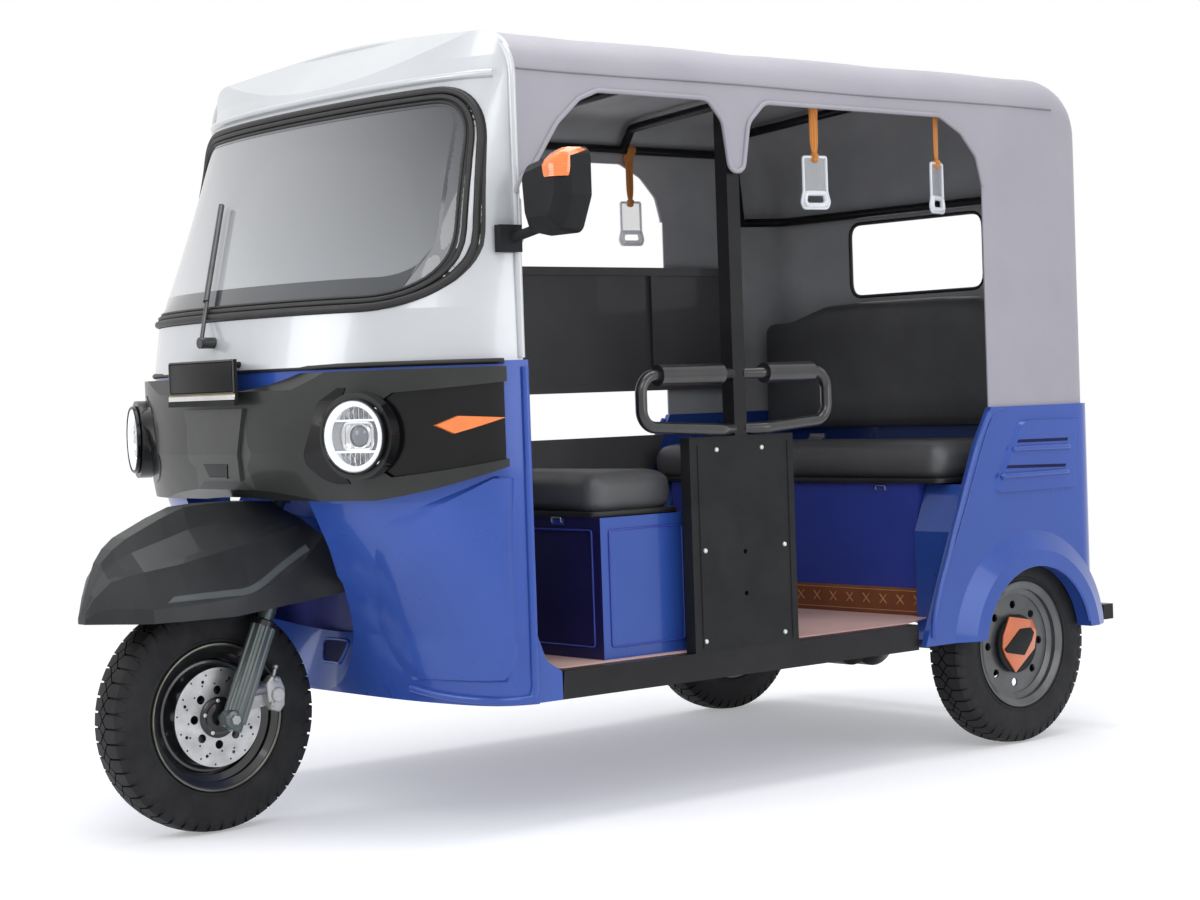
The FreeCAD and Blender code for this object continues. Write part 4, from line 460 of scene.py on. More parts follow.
def rounded_slab(name, outline, depth, body, material, width, segments=2):
    """Plate from an outline in metres, pushed along a vector, with rounded edges."""
    return chamfered(mesh_piece(name, *slab(outline, depth), body, material), width, segments)


def upright(low_x, high_x, y, low_z, high_z):
    """Corners of an upright rectangle across the vehicle."""
    return [at(low_x, y, low_z), at(high_x, y, low_z), at(high_x, y, high_z), at(low_x, y, high_z)]


def round_axis(count, axis):
    """Directions round an axis, evenly spaced."""
    side = axis.orthogonal().normalized()
    other = axis.cross(side)
    for turn in range(count):
        angle = 2 * math.pi * turn / count
        yield side * math.cos(angle) + other * math.sin(angle)


def closed_lathe(profile, centre, axis, steps):
    """Turned ring: (distance along the axis, radius) pairs in millimetres about an axis through a point."""
    axis = Vector(axis).normalized()
    points = []
    for out in round_axis(steps, axis):
        points += [centre + axis * (along / 1000) + out * (radius / 1000) for along, radius in profile]
    count = len(profile)
    faces = rows_to_faces(steps, count, True, False)
    for turn in range(steps):
        this = turn * count
        following = (turn + 1) % steps * count
        faces.append((this + count - 1, following + count - 1, following, this))
    return points, faces


def turned(name, profile, centre, axis, steps, body, material):
    return mesh_piece(name, *closed_lathe(profile, centre, axis, steps), body, material)


def inside(cutters, piece):
    """Cuts closed forms out of a piece."""
    mesh = bpy.data.meshes.new("cutter")
    mesh.from_pydata([tuple(point) for point in cutters[0]], [], cutters[1])
    face_outwards(mesh)
    tool = bpy.data.objects.new("cutter", mesh)
    bpy.context.scene.collection.objects.link(tool)
    cut = piece.modifiers.new("cut", "BOOLEAN")
    cut.operation = "DIFFERENCE"
    cut.solver = "EXACT"
    cut.object = tool
    bake(piece)
    bpy.data.objects.remove(tool)
    return piece


# Hood

HOOD_HALF = 632
HOOD_TOP = 1820
HOOD_LOW = 899
ROOF_SLOPE = 4.5
EAVE_BEND = 100
CROWN_RADIUS = 3000
CROWN_HALF = 235
PEAK_RISE = 9.27
REAR_BEND_START = 2292
REAR_BEND = 150
REAR_CORNER_START = 2362
REAR_CORNER = 80
BOWS = (465, 959, 1453, 1948, 2400)
DOORS = [
    (458, 640), (458, 1440), (508, 1480), (578, 1578), (645, 1636), (700, 1657), (1040, 1657), (1088, 1606),
    (1107, 1489), (1149, 1489), (1170, 1606), (1225, 1657), (1850, 1657), (1932, 1617), (1991, 1557),
    (2011, 1488), (2011, 640),
]
REAR_WINDOW = [(-262, 0, 1235), (262, 0, 1235), (262, 0, 1455), (-262, 0, 1455)]


def hood_section(half, top):
    """Points of one slice, from the left seam over the crown to the right one."""
    slope = math.tan(math.radians(ROOF_SLOPE))
    peak = top + PEAK_RISE
    eave = peak - half * slope
    turn = math.radians(90 - ROOF_SLOPE)
    reach = EAVE_BEND * math.tan(turn / 2)
    left = [(half, HOOD_LOW + (eave - reach - HOOD_LOW) * share) for share in (0, 0.25, 0.5, 0.72, 0.88, 1)]
    for step in range(1, 9):
        angle = turn * step / 8
        rise = eave - reach + EAVE_BEND * math.sin(angle)
        left.append((half - EAVE_BEND + EAVE_BEND * math.cos(angle), rise))
    edge = left[-1][0]
    for share in (0.85, 0.7, 0.55, 0.4, 0.25, 0.12):
        x = edge * share
        crown = top - CROWN_RADIUS + math.sqrt(CROWN_RADIUS ** 2 - x * x)
        left.append((x, peak - x * slope if x > CROWN_HALF else crown))
    return left + [(0, top)] + [(-x, z) for x, z in reversed(left)]


def rounding(radius, over):
    """How far a rounded edge has fallen a distance past its start."""
    return radius - math.sqrt(max(0, radius ** 2 - max(0, over) ** 2))


def hood_skin():
    """Points and faces of the cloth, which sags between the bows, ripples and bends down at the rear."""
    stations = [465, 520, *range(600, 2201, 100), 2280]
    stations += [REAR_BEND_START + REAR_BEND * math.sin(math.radians(angle))
                 for angle in (10, 20, 30, 40, 50, 60, 68, 76, 83, 90)]
    points = []
    for y in stations:
        drop = rounding(REAR_BEND, y - REAR_BEND_START)
        narrow = rounding(REAR_CORNER, y - REAR_CORNER_START)
        near = min(abs(y - bow) for bow in BOWS) / 250
        for x, z in hood_section(HOOD_HALF - narrow, HOOD_TOP - drop):
            sag = 5 * min(1, near) * max(0, (z - 1690) / 120)
            wave = noise.noise(Vector((x * 0.004, y * 0.006, z * 0.003)))
            ripple = abs(wave * 2.2 * min(1, max(0, (z - 1000) / 300)))
            points.append(at(x - math.copysign(ripple, x) * (abs(x) > 500), y, z - sag - ripple))
    across = len(points) // len(stations)
    faces = rows_to_faces(len(stations), across)
    last = (len(stations) - 1) * across
    faces.append(tuple(range(last, last + across)))
    return points, faces


def build_hood():
    hood = mesh_piece("hood", *hood_skin(), "chassis", HOOD, LINING, sharp=50)
    skin = hood.modifiers.new("skin", "SOLIDIFY")
    skin.thickness = 0.004
    skin.offset = -1 if hood.data.polygons[0].normal.x > 0 else 1
    skin.material_offset = 1
    bake(hood, 50)
    outline = fillet([(0, y, z) for y, z in DOORS], 45, 5, True)
    inside(slab([at(-700, point.y, point.z) for point in outline], (1.4, 0, 0)), hood)
    window = fillet(REAR_WINDOW, 45, 6, True)
    inside(slab([at(point.x, 2380, point.z) for point in window], (0, 0.12, 0)), hood)
    soften(hood.data, 40)
    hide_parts("canopy")
    for side, sign in (("right", -1), ("left", 1)):
        hem = [at(sign * 633, point.y, point.z) for point in outline if HOOD_LOW + 2 < point.z]
        tube_piece(f"door_hem_{side}", hem, 0.006, "chassis", HOOD, 8)
    path = [at(point.x, 2442, point.z) for point in window]
    tube_piece("window_hem", path, 0.006, "chassis", RUBBER, 8, True)


build_hood()


# Tyres

CROWN = 264.5
PITCHES = 48
TYRE_SIDE = [
    (41, 154.5), (43.5, 160), (46, 168), (48.5, 172.5), (51.5, 173.5), (52, 177), (50.5, 180), (51.5, 184),
    (53.2, 194), (54, 206), (53.6, 218), (52.4, 230), (50.6, 240), (48, 247.5), (44, 252), (36, 254.8),
    (20, 256.6), (8, 257.2),
]
TYRE_INSIDE = [(0, 249), (30, 246), (44, 228), (47, 205), (42, 178), (35, 158)]


def crown_at(x):
    """Radius of the tread's top over its width."""
    return CROWN - 5.2 * (abs(x) / 46) ** 2.3


def tread_lug(rows, centre, middle):
    """Raised lug: (across, half length, top, foot) rows in millimetres about an angle round the axle."""
    points = []
    for across, half, top, foot in rows:
        for radius in (top, foot):
            for end in (-1, 1):
                angle = middle + end * half / CROWN
                reach = radius / 1000
                out = Vector((across / 1000, math.cos(angle) * reach, math.sin(angle) * reach))
                points.append(centre + out)
    faces = []
    for row in range(len(rows) - 1):
        a, b = row * 4, row * 4 + 4
        faces += [(a, a + 1, b + 1, b), (a, b, b + 2, a + 2), (a + 1, a + 3, b + 3, b + 1)]
    last = len(rows) * 4 - 4
    return points, faces + [(0, 2, 3, 1), (last, last + 1, last + 3, last + 2)]


def build_tyre(name, node, body, centre):
    half = TYRE_SIDE + [(0, 257.3)]
    outer = [(-x, radius) for x, radius in half] + [(x, radius) for x, radius in reversed(TYRE_SIDE)]
    hollow = [(x, radius) for x, radius in reversed(TYRE_INSIDE)]
    hollow += [(-x, radius) for x, radius in TYRE_INSIDE[1:]]
    shapes = [closed_lathe(outer + hollow, centre, (1, 0, 0), 96)]
    step = 2 * math.pi / PITCHES
    long = CROWN * step
    for pitch in range(PITCHES):
        middle = pitch * step
        gem = [(-11.5, 0.6), (-5.5, long * 0.22), (0, long * 0.41), (5.5, long * 0.22), (11.5, 0.6)]
        shapes.append(tread_lug([(x, size, crown_at(x), 255) for x, size in gem], centre, middle))
        for side in (-1, 1):
            rows = [(3.2, 0.6), (9, long * 0.24), (14.5, long * 0.43), (30, long * 0.43), (44, long * 0.42)]
            lug = [(side * x, size, crown_at(x), 250) for x, size in rows]
            lug += [(side * 50.2, long * 0.37, 250.5, 243), (side * 52.6, long * 0.26, 240, 233)]
            shapes.append(tread_lug(lug, centre, middle + step / 2))
    tyre = mesh_piece(name, *merged(shapes), body, TYRE, sharp=28)
    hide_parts(node)


AXLE_HEIGHT = 265
FRONT_WHEEL = at(0, 0, AXLE_HEIGHT)
build_tyre("front_tread", "front_tyre", "front_wheel", FRONT_WHEEL)
for side, sign in SIDES:
    centre = at(sign * 562, 2140, AXLE_HEIGHT)
    build_tyre(f"rear_{side}_tread", "rear_tyre_" + side, "rear_wheel_" + side, centre)


# Hub caps

CAP_EDGE = [(-38, 76), (54, 60), (70, 26), (61, -18), (-20, -76), (-59, -28), (-70, -4), (-66, 26)]
CAP_BAR = [(1, 40), (43, 40), (56, 26), (45, 4), (14, -32), (-56, -19), (-66, -9), (-56, -3)]


def build_cap(side, sign):
    """Round base, orange shield and black bar: the outlines are (y, z) pairs between two depths."""
    body = "rear_wheel_" + side
    centre = at(sign * 562, 2140, AXLE_HEIGHT)
    out = Vector((sign, 0, 0))
    base = [(30, 0.3), (30, 76), (33, 78), (37, 76), (39, 60), (39, 0.3)]
    dish = turned(f"cap_base_{side}", base, centre, out, 64, body, BLACK_PLASTIC)
    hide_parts("hub_cap_" + side)
    for name, edge, low, high, material in (("cap_shield", CAP_EDGE, 38, 44, ORANGE),
                                            ("cap_bar", CAP_BAR, 43, 48, BLACK_PLASTIC)):
        outline = [centre + Vector((sign * low / 1000, y / 1000, z / 1000)) for y, z in edge]
        rounded_slab(f"{name}_{side}", outline, out * ((high - low) / 1000), body, material, 0.0022)


for side, sign in SIDES:
    build_cap(side, sign)


# Headlamps

LAMP_LEAN = math.radians(20)
LAMP_SHELL = [
    (-26, 0.3), (-26, 62), (10, 66), (22, 78), (29, 83), (35, 82.6), (37.5, 80), (35.5, 78), (20, 76),
    (8, 72), (-12, 58), (-20, 40), (-22, 0.3),
]
LAMP_BOWL = [
    (22, 64.5), (6, 61), (-8, 50), (-15, 34), (-17, 20), (-18.5, 20), (-16.5, 34), (-9.5, 51), (4.5, 62.5),
    (20.5, 66),
]
LAMP_HALO = [(22, 64), (30, 64.5), (34.5, 66.5), (36, 70.5), (35.5, 74.5), (32, 77.3), (24, 77.5), (20, 72)]
LAMP_PROJECTOR = [(-18, 0.3), (-18, 24), (2, 24.5), (9, 22), (14.5, 15), (17, 7), (17.5, 0.3)]
LAMP_COLLAR = [(2, 25), (10, 25), (11, 28.5), (9, 31.5), (2, 32)]
LAMP_COVER = [
    (35, 78.5), (37.5, 70), (40.5, 50), (42.5, 25), (43, 0.3), (41.8, 0.3), (41.3, 25), (39.3, 50), (36, 70),
    (33.5, 78),
]


def build_headlamp(side, sign):
    out = Vector((sign * math.sin(LAMP_LEAN), -math.cos(LAMP_LEAN), 0))
    up = Vector((0, 0, 1))
    across = up.cross(out).normalized()
    centre = at(sign * 468, 138, 896)
    housing = turned(f"lamp_housing_{side}", LAMP_SHELL, centre, out, 72, "chassis", BLACK_GLOSS)
    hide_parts("headlamps")
    for name, profile, steps, material in (("bowl", LAMP_BOWL, 72, CHROME),
                                           ("halo", LAMP_HALO, 72, WHITE_GLOW),
                                           ("projector", LAMP_PROJECTOR, 48, PROJECTOR),
                                           ("collar", LAMP_COLLAR, 48, CHROME)):
        turned(f"lamp_{name}_{side}", profile, centre, out, steps, "chassis", material)

    def bar(name, low, high, along, material, soft=0.0015):
        """Bar across the bowl: corners in (across, up) millimetres, between two depths."""
        corners = [(low[0], low[1]), (high[0], low[1]), (high[0], high[1]), (low[0], high[1])]
        outline = [centre + across * (u / 1000) + up * (v / 1000) + out * (along[0] / 1000)
                   for u, v in corners]
        rounded_slab(name, outline, out * ((along[1] - along[0]) / 1000), "chassis", material, soft)

    for edge, height in (("upper", 32), ("lower", -36)):
        bar(f"lamp_bar_{edge}_{side}", (-57, height), (57, height + 5), (10, 21), WHITE_GLOW)
        for spot in range(7):
            middle = -39 + spot * 13
            reach = math.sqrt(60 ** 2 - middle ** 2)
            low, high = (height + 5, reach) if edge == "upper" else (-reach, height)
            bar(f"lamp_rib_{edge}_{spot}_{side}", (middle - 0.9, low), (middle + 0.9, high), (-8, 9), CHROME,
                0.0004)
    corners = [centre + across * (u / 1000) + up * (v / 1000) + out * 0.013
               for u, v in ((-38, -29), (38, -29), (38, 29), (-38, 29))]
    tube_piece(f"lamp_frame_{side}", fillet(corners, 0.017, 6, True), 0.0035, "chassis", CHROME, 10, True)
    turned(f"lamp_cover_{side}", LAMP_COVER, centre, out, 64, "chassis", LENS)


for side, sign in SIDES:
    build_headlamp(side, sign)


# Cushions

FILLING_STEPS = 20
SHRINK = 0.008


def fill_with_air(pad, reach):
    """Blows a cushion up as cloth and holds every point within a reach of where it was."""
    before = [vertex.co.copy() for vertex in pad.data.vertices]
    cloth = pad.modifiers.new("cloth", "CLOTH")
    cloth.settings.use_pressure = True
    cloth.settings.uniform_pressure_force = 4
    cloth.settings.effector_weights.gravity = 0
    cloth.settings.quality = 4
    cloth.settings.tension_stiffness = 12
    cloth.settings.bending_stiffness = 0.6
    cloth.point_cache.frame_start = 1
    cloth.point_cache.frame_end = FILLING_STEPS
    for number in range(1, FILLING_STEPS + 1):
        bpy.context.scene.frame_set(number)
    bake(pad, 180)
    bpy.context.scene.frame_set(1)
    for vertex, start in zip(pad.data.vertices, before):
        moved = vertex.co - start
        if moved.length > reach:
            vertex.co = start + moved.normalized() * reach


def build_cushion(name, node, body, reach, round_off, voxel):
    """Cushion from a solid's form: rounded, remeshed, filled with air and held near its shape."""
    source = nodes[node].data
    low, high = (Vector(corner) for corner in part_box(node))
    middle = (low + high) / 2
    size = high - low
    scale = [(size[axis] - 2 * SHRINK) / size[axis] for axis in range(3)]
    spots = [tuple(middle[axis] + (vertex.co[axis] - middle[axis]) * scale[axis] for axis in range(3))
             for vertex in source.vertices]
    mesh = bpy.data.meshes.new(name)
    mesh.from_pydata(spots, [], [tuple(face.vertices) for face in source.polygons])
    form = bmesh.new()
    form.from_mesh(mesh)
    bmesh.ops.remove_doubles(form, verts=form.verts, dist=0.00005)
    bmesh.ops.dissolve_limit(form, angle_limit=math.radians(3), verts=form.verts, edges=form.edges)
    form.to_mesh(mesh)
    form.free()
    pad = link(bpy.data.objects.new(name, mesh), body, SEAT)
    edge = pad.modifiers.new("round", "BEVEL")
    edge.width = round_off
    edge.segments = 5
    edge.limit_method = "ANGLE"
    edge.angle_limit = math.radians(50)
    grid = pad.modifiers.new("grid", "REMESH")
    grid.mode = "VOXEL"
    grid.voxel_size = voxel
    bake(pad, 180)
    fill_with_air(pad, reach)
    smooth = pad.modifiers.new("smooth", "SMOOTH")
    smooth.factor = 0.5
    smooth.iterations = 3
    finer = pad.modifiers.new("finer", "SUBSURF")
    finer.levels = 1
    bake(pad, 180)
    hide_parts(node)


build_cushion("driver_cushion", "driver_seat_cushion", "driver_seat", 0.008, 0.03, 0.01)
build_cushion("bench_cushion", "rear_seat_cushion", "rear_seat", 0.008, 0.034, 0.012)
build_cushion("bench_backrest", "rear_backrest", "chassis", 0.009, 0.03, 0.012)


# Trim that follows the solids' surfaces

def skin_of(*names):
    """Search tree over the faces of CAD nodes."""
    points, faces = [], []
    for name in names:
        item = nodes[name]
        start = len(points)
        points += [item.matrix_world @ vertex.co for vertex in item.data.vertices]
        faces += [tuple(start + index for index in face.vertices) for face in item.data.polygons]
    return BVHTree.FromPolygons(points, faces)


def touch(tree, place, ray, stand=0.0):
    """Point where a ray from outside meets a skin, raised by a stand in millimetres."""
    ray = Vector(ray).normalized()
    hit, normal, _, _ = tree.ray_cast(Vector(place) - ray * 0.5, ray)
    if hit is None:
        hit, normal, _, _ = tree.find_nearest(Vector(place))
    if normal.dot(ray) > 0:
        normal = -normal
    return hit + normal * (stand / 1000)


def resample(path, count):
    """Evenly spaced points along a closed path."""
    path = [Vector(point) for point in path]
    path.append(path[0])
    reach = [0.0]
    for before, after in zip(path, path[1:]):
        reach.append(reach[-1] + (after - before).length)
    spots = []
    index = 0
    for step in range(count):
        goal = reach[-1] * step / count
        while index < len(path) - 2 and reach[index + 1] < goal:
            index += 1
        span = reach[index + 1] - reach[index]
        spots.append(path[index].lerp(path[index + 1], min(1, max(0, (goal - reach[index]) / span))))
    return spots


def curve_through(points, steps):
    """Smooth line through points."""
    points = [Vector(point) for point in points]
    line = []
    for index in range(len(points) - 1):
        a, b, c, d = (points[max(0, min(len(points) - 1, index + shift))] for shift in (-1, 0, 1, 2))
        for step in range(steps):
            t = step / steps
            line.append(0.5 * (2 * b + (c - a) * t + (2 * a - 5 * b + 4 * c - d) * t * t
                               + (3 * b - a - 3 * c + d) * t ** 3))
    return line + [points[-1]]


def draped(name, columns, stands, tree, ray, body, material, counts, steps, sharp):
    """Raised skin between column lines in metres, with stands in millimetres; its rim meets the skin."""
    lines = [curve_through(column, steps) for column in columns]
    rows = len(lines[0])
    tracks = []
    for row in range(rows):
        track = []
        for index in range(len(lines) - 1):
            for step in range(counts[index]):
                share = step / counts[index]
                place = lines[index][row].lerp(lines[index + 1][row], share)
                track.append((place, stands[index] + (stands[index + 1] - stands[index]) * share))
        track.append((lines[-1][row], stands[-1]))
        tracks.append(track)
    points = []
    for row, track in enumerate(tracks):
        for place, stand in track:
            points.append(touch(tree, place, ray, -1.5 if row in (0, rows - 1) else stand))
    return mesh_piece(name, points, rows_to_faces(rows, len(tracks[0])), body, material, sharp=sharp)


def plate_on(name, left, right, tree, ray, body, material, stand, edge, count, steps):
    """Raised plate between two edge lines of places in metres, with sloping rims."""
    first = [a.lerp(b, edge) for a, b in zip(left, right)]
    last = [a.lerp(b, 1 - edge) for a, b in zip(left, right)]
    top = [line[0].lerp(line[1], 0.12) for line in (left, first, last, right)]
    foot = [line[-1].lerp(line[-2], 0.12) for line in (left, first, last, right)]
    columns = [[line[0], start, *line[1:-1], end, line[-1]]
               for line, start, end in zip((left, first, last, right), top, foot)]
    stands = (-1.5, stand, stand, -1.5)
    return draped(name, columns, stands, tree, ray, body, material, (1, count, 1), steps, 25)


def mirror_line(points, sign):
    return [at(x * sign, y, z) for x, y, z in points]


# Windscreen

FRIT = finish_of("glass_frit", (0.04, 0.045, 0.052), (0.055, 0.06, 0.068), (0.1, 0.18), 0.0, 0.8, 4.0,
                 1200.0, 0.0001, 0.04)
SCREEN = [(-583, 1192, 140), (583, 1192, 140), (560, 1640, 105), (-560, 1640, 105)]


def screen_line(sides):
    """Windscreen outline with each side moved outwards: bottom, right, top, left, in millimetres."""
    low, right, high, left = sides
    moves = [(-left, -low), (right, -low), (right, high), (-left, high)]
    corners = [(x + dx, 0, z + dz) for (x, z, _), (dx, dz) in zip(SCREEN, moves)]
    radii = [max(20, radius + min(sides)) for _, _, radius in SCREEN]
    return resample(fillet(corners, radii, 10, True), 200)


def on_screen(tree, line, stand):
    return [touch(tree, at(point.x, 200, point.z), (0, 1, 0), stand) for point in line]


def band(name, outer, inner, body, material):
    """Flat ring between two closed lines."""
    count = len(outer)
    faces = [(spot, (spot + 1) % count, count + (spot + 1) % count, count + spot) for spot in range(count)]
    return mesh_piece(name, outer + inner, faces, body, material)


def build_windscreen():
    skin = skin_of("cab_front", "windscreen_glass")
    edges = [on_screen(skin, screen_line((grow,) * 4), 1.2) for grow in (26, -9)]
    base = band("screen_seal_base", *edges, "chassis", RUBBER)
    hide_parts("windscreen_seal")
    for name, grow, stand, radius in (("outer", 17, 3, 0.009), ("middle", 3, 2.5, 0.0065),
                                      ("inner", -8, 1.5, 0.0035)):
        path = on_screen(skin, screen_line((grow,) * 4), stand)
        tube_piece(f"screen_seal_{name}", path, radius, "chassis", RUBBER, 12, True)
    glass = skin_of("windscreen_glass")
    edges = [on_screen(glass, screen_line(sides), 0.8) for sides in ((-6,) * 4, (-50, -36, -18, -24))]
    band("screen_frit", *edges, "chassis", FRIT)


build_windscreen()


# Cab trim

RIM_HALF = 627
RIM_TOP = 1811
RIM_FOOT = 1056


def build_cab_trim():
    skin = skin_of("cab_front")
    lip = [touch(skin, at(x, 343, 1686), (0, 1, 0), 3) for x in range(-590, 591, 20)]
    tube_piece("brow_lip", lip, 0.009, "chassis", SILVER, 12)
    arch = hood_section(RIM_HALF, RIM_TOP)
    arch = [(RIM_HALF, RIM_FOOT)] + [(x, z) for x, z in arch if z > RIM_FOOT + 4] + [(-RIM_HALF, RIM_FOOT)]
    rim = [at(x, 461, z) for x, z in arch]
    tube_piece("cab_rim_tube", rim, 0.0085, "chassis", SILVER, 14)
    seam_skin = skin_of("cab_front", "front_apron")
    seam = []
    for step in range(-22, 23):
        angle = math.radians(step * 3.7)
        place = at(math.sin(angle) * 640, 465 - math.cos(angle) * 400, 1050)
        seam.append(touch(seam_skin, place, (-math.sin(angle), math.cos(angle), 0), 1))
    tube_piece("cab_seam", seam, 0.0065, "chassis", RUBBER, 10)


build_cab_trim()


# Lamp panel and plate

FIELD_GREY = finish_of("field_grey", (0.042, 0.044, 0.042), (0.055, 0.057, 0.054), (0.34, 0.44), 0.3, 0.2,
                       5.0, 1400.0, 0.0002, 0.08)
GOLD = finish_of("strip_gold", (0.5, 0.36, 0.12), (0.6, 0.44, 0.16), (0.2, 0.3), 0.9, 0.0, 10.0, 1200.0,
                 0.0001, 0.05)
PLATE = finish_of("plate_blank", (0.005, 0.0052, 0.0057), (0.008, 0.0083, 0.0088), (0.3, 0.4), 0.0, 0.05,
                  5.0, 1400.0, 0.0002, 0.05, 0.15)
EYE_LEFT = [
    (415, 1002), (387, 986), (359, 969), (347, 943), (339, 915), (326, 886), (314, 855), (317, 835),
    (337, 817), (361, 801), (393, 792),
]
EYE_RIGHT = [
    (436, 1002), (430, 986), (418, 969), (402, 943), (388, 915), (386, 886), (389, 855), (398, 835),
    (412, 817), (424, 801), (428, 792),
]
INSET_EDGE = [(58, 838), (54, 828), (48, 816), (42, 806)]


def panel_zone(x, y, z):
    """Finish of a spot on the lamp panel: 1 for the recess round the lamps, 2 for the centre field."""
    x = abs(x)
    if x < 130 and 797 < z < 966 and y < 110:
        return 2
    if y < 180:
        spread = 92 * min(1, max(0, (y - 88) / 92))
        low, high = 896 - spread, 896 + spread
    else:
        low, high = 804 + (y - 180) / 230 * 35, 988 + (y - 180) / 230 * 18
    return 1 if x > 281 and y > 88 and low < z < high else 0


def build_panel():
    mesh = nodes["lamp_panel"].data
    for material in (BLACK_GLOSS, FIELD_GREY):
        mesh.materials.append(material)
    for face in mesh.polygons:
        spot = (nodes["lamp_panel"].matrix_world @ face.center - at(0, 0, 0)) * 1000
        face.material_index = panel_zone(spot.x, spot.y, spot.z)
    skin = skin_of("lamp_panel")
    # Black gloss plates left of each lamp: painted shade in the recess round the lamp
    for side, sign in SIDES:
        edges = [[at(x * sign, 100, z) for x, z in edge] for edge in (EYE_LEFT, EYE_RIGHT)]
        plate_on(f"eye_painted_shade_{side}", *edges, skin, (0, 1, 0), "chassis", BLACK_GLOSS, 2.2, 0.05, 1, 3)
    edges = [[at(x * sign, 60, z) for x, z in INSET_EDGE] for sign in (-1, 1)]
    plate_on("field_inset", *edges, skin, (0, 1, 0), "chassis", BLACK_GLOSS, 1.6, 0.06, 8, 2)
    lip = [touch(skin, at(x, 60, 807), (0, 1, 0), 2) for x in range(-40, 41, 8)]
    tube_piece("field_lip", lip, 0.0022, "chassis", FIELD_GREY, 8)
    rounded_slab("plate_face", upright(-136, 136, 21.5, 1004, 1070), (0, -0.003, 0), "chassis", PLATE, 0.001)
    rim = fillet(upright(-141, 141, 20, 1000, 1074), 0.006, 4, True)
    tube_piece("plate_frame", rim, 0.0024, "chassis", FIELD_GREY, 8, True)
    for name, low, high, depth, material in (("plate_strip", 985, 996, 0.0045, CHROME),
                                             ("plate_line", 996.5, 998.5, 0.003, GOLD)):
        rounded_slab(name, upright(-145, 145, 21.8, low, high), (0, -depth, 0), "chassis", material, 0.0007)


build_panel()


# Apron

APRON_COLUMNS = [
    [(625, 380, 800), (600, 325, 778), (565, 270, 755), (505, 225, 728), (447, 197, 701), (408, 196, 660),
     (381, 207, 615), (356, 227, 561), (325, 249, 503), (308, 268, 455), (318, 290, 405), (345, 305, 360),
     (380, 318, 332)],
    [(626, 384, 799), (606, 335, 775), (578, 288, 750), (540, 252, 727), (508, 230, 700), (480, 223, 665),
     (457, 225, 622), (435, 241, 570), (404, 262, 506), (388, 282, 455), (386, 295, 415), (400, 308, 372),
     (425, 322, 342)],
    [(632, 410, 798), (632, 408, 774), (632, 406, 748), (631, 404, 724), (631, 402, 696), (631, 400, 662),
     (630, 400, 620), (629, 400, 568), (628, 402, 506), (628, 406, 455), (627, 410, 415), (622, 404, 372),
     (606, 396, 342)],
]
APRON_FOOT = [
    (640, 448, 306), (628, 420, 302), (603, 387, 302), (560, 362, 304), (510, 345, 306), (460, 330, 310),
    (410, 318, 316), (372, 312, 322),
]


def build_apron(side, sign):
    skin = skin_of("front_apron")
    columns = [mirror_line(column, sign) for column in APRON_COLUMNS]
    columns.append([a + Vector((0.002 * sign, 0.018, 0)) for a in columns[2]])
    ray = (-0.55 * sign, 0.83, 0)
    draped(f"apron_relief_{side}", columns, (-1.5, 8, 7, -1.5), skin, ray, "chassis", BLUE, (2, 9, 1), 3, 28)
    flange = [touch(skin, at(700 * sign, 455, z), (-sign, 0, 0), 1) for z in range(1036, 318, -22)]
    flange += [touch(skin, at(x * sign, y, z), (-0.6 * sign, 0.8, 0), 1) for x, y, z in APRON_FOOT]
    tube_piece(f"apron_flange_{side}", curve_through(flange, 3), 0.0095, "chassis", BLUE, 12)


for side, sign in SIDES:
    build_apron(side, sign)


# Rear quarters

# Near-black blue for the vent slots and the toe opening: painted shade for the dark inside of the openings
SLOT_SHADE = finish_of("louvre_slot_shade", (0.006, 0.009, 0.05), (0.009, 0.013, 0.07), (0.45, 0.55), 0.0, 0.0, 8.0,
                 1200.0, 0.0002, 0.1, 0.12)
LOUVRES = [
    ((2101, 808), (2308, 806), (2084, 788), (2316, 787)),
    ((2054, 742), (2297, 736), (2037, 719), (2304, 720)),
]
VENT_FRONT = [(2150, 862), (2118, 855), (2088, 815), (2048, 752), (2013, 690), (2018, 676)]
VENT_REAR = [(2362, 860), (2368, 850), (2364, 808), (2358, 748), (2352, 686), (2344, 676)]
QUARTER_RIM = [
    (1762, 318), (1765, 363), (1790, 450), (1811, 520), (1838, 590), (1866, 653), (1902, 730), (1938, 807),
    (1968, 868), (1986, 896),
]
QUARTER_LINE = [(1847, 537), (1878, 600), (1911, 668), (1960, 775), (1990, 835), (2019, 875), (2076, 892)]
ARCH_RADIUS = 216
ARCH_FOOT = 306


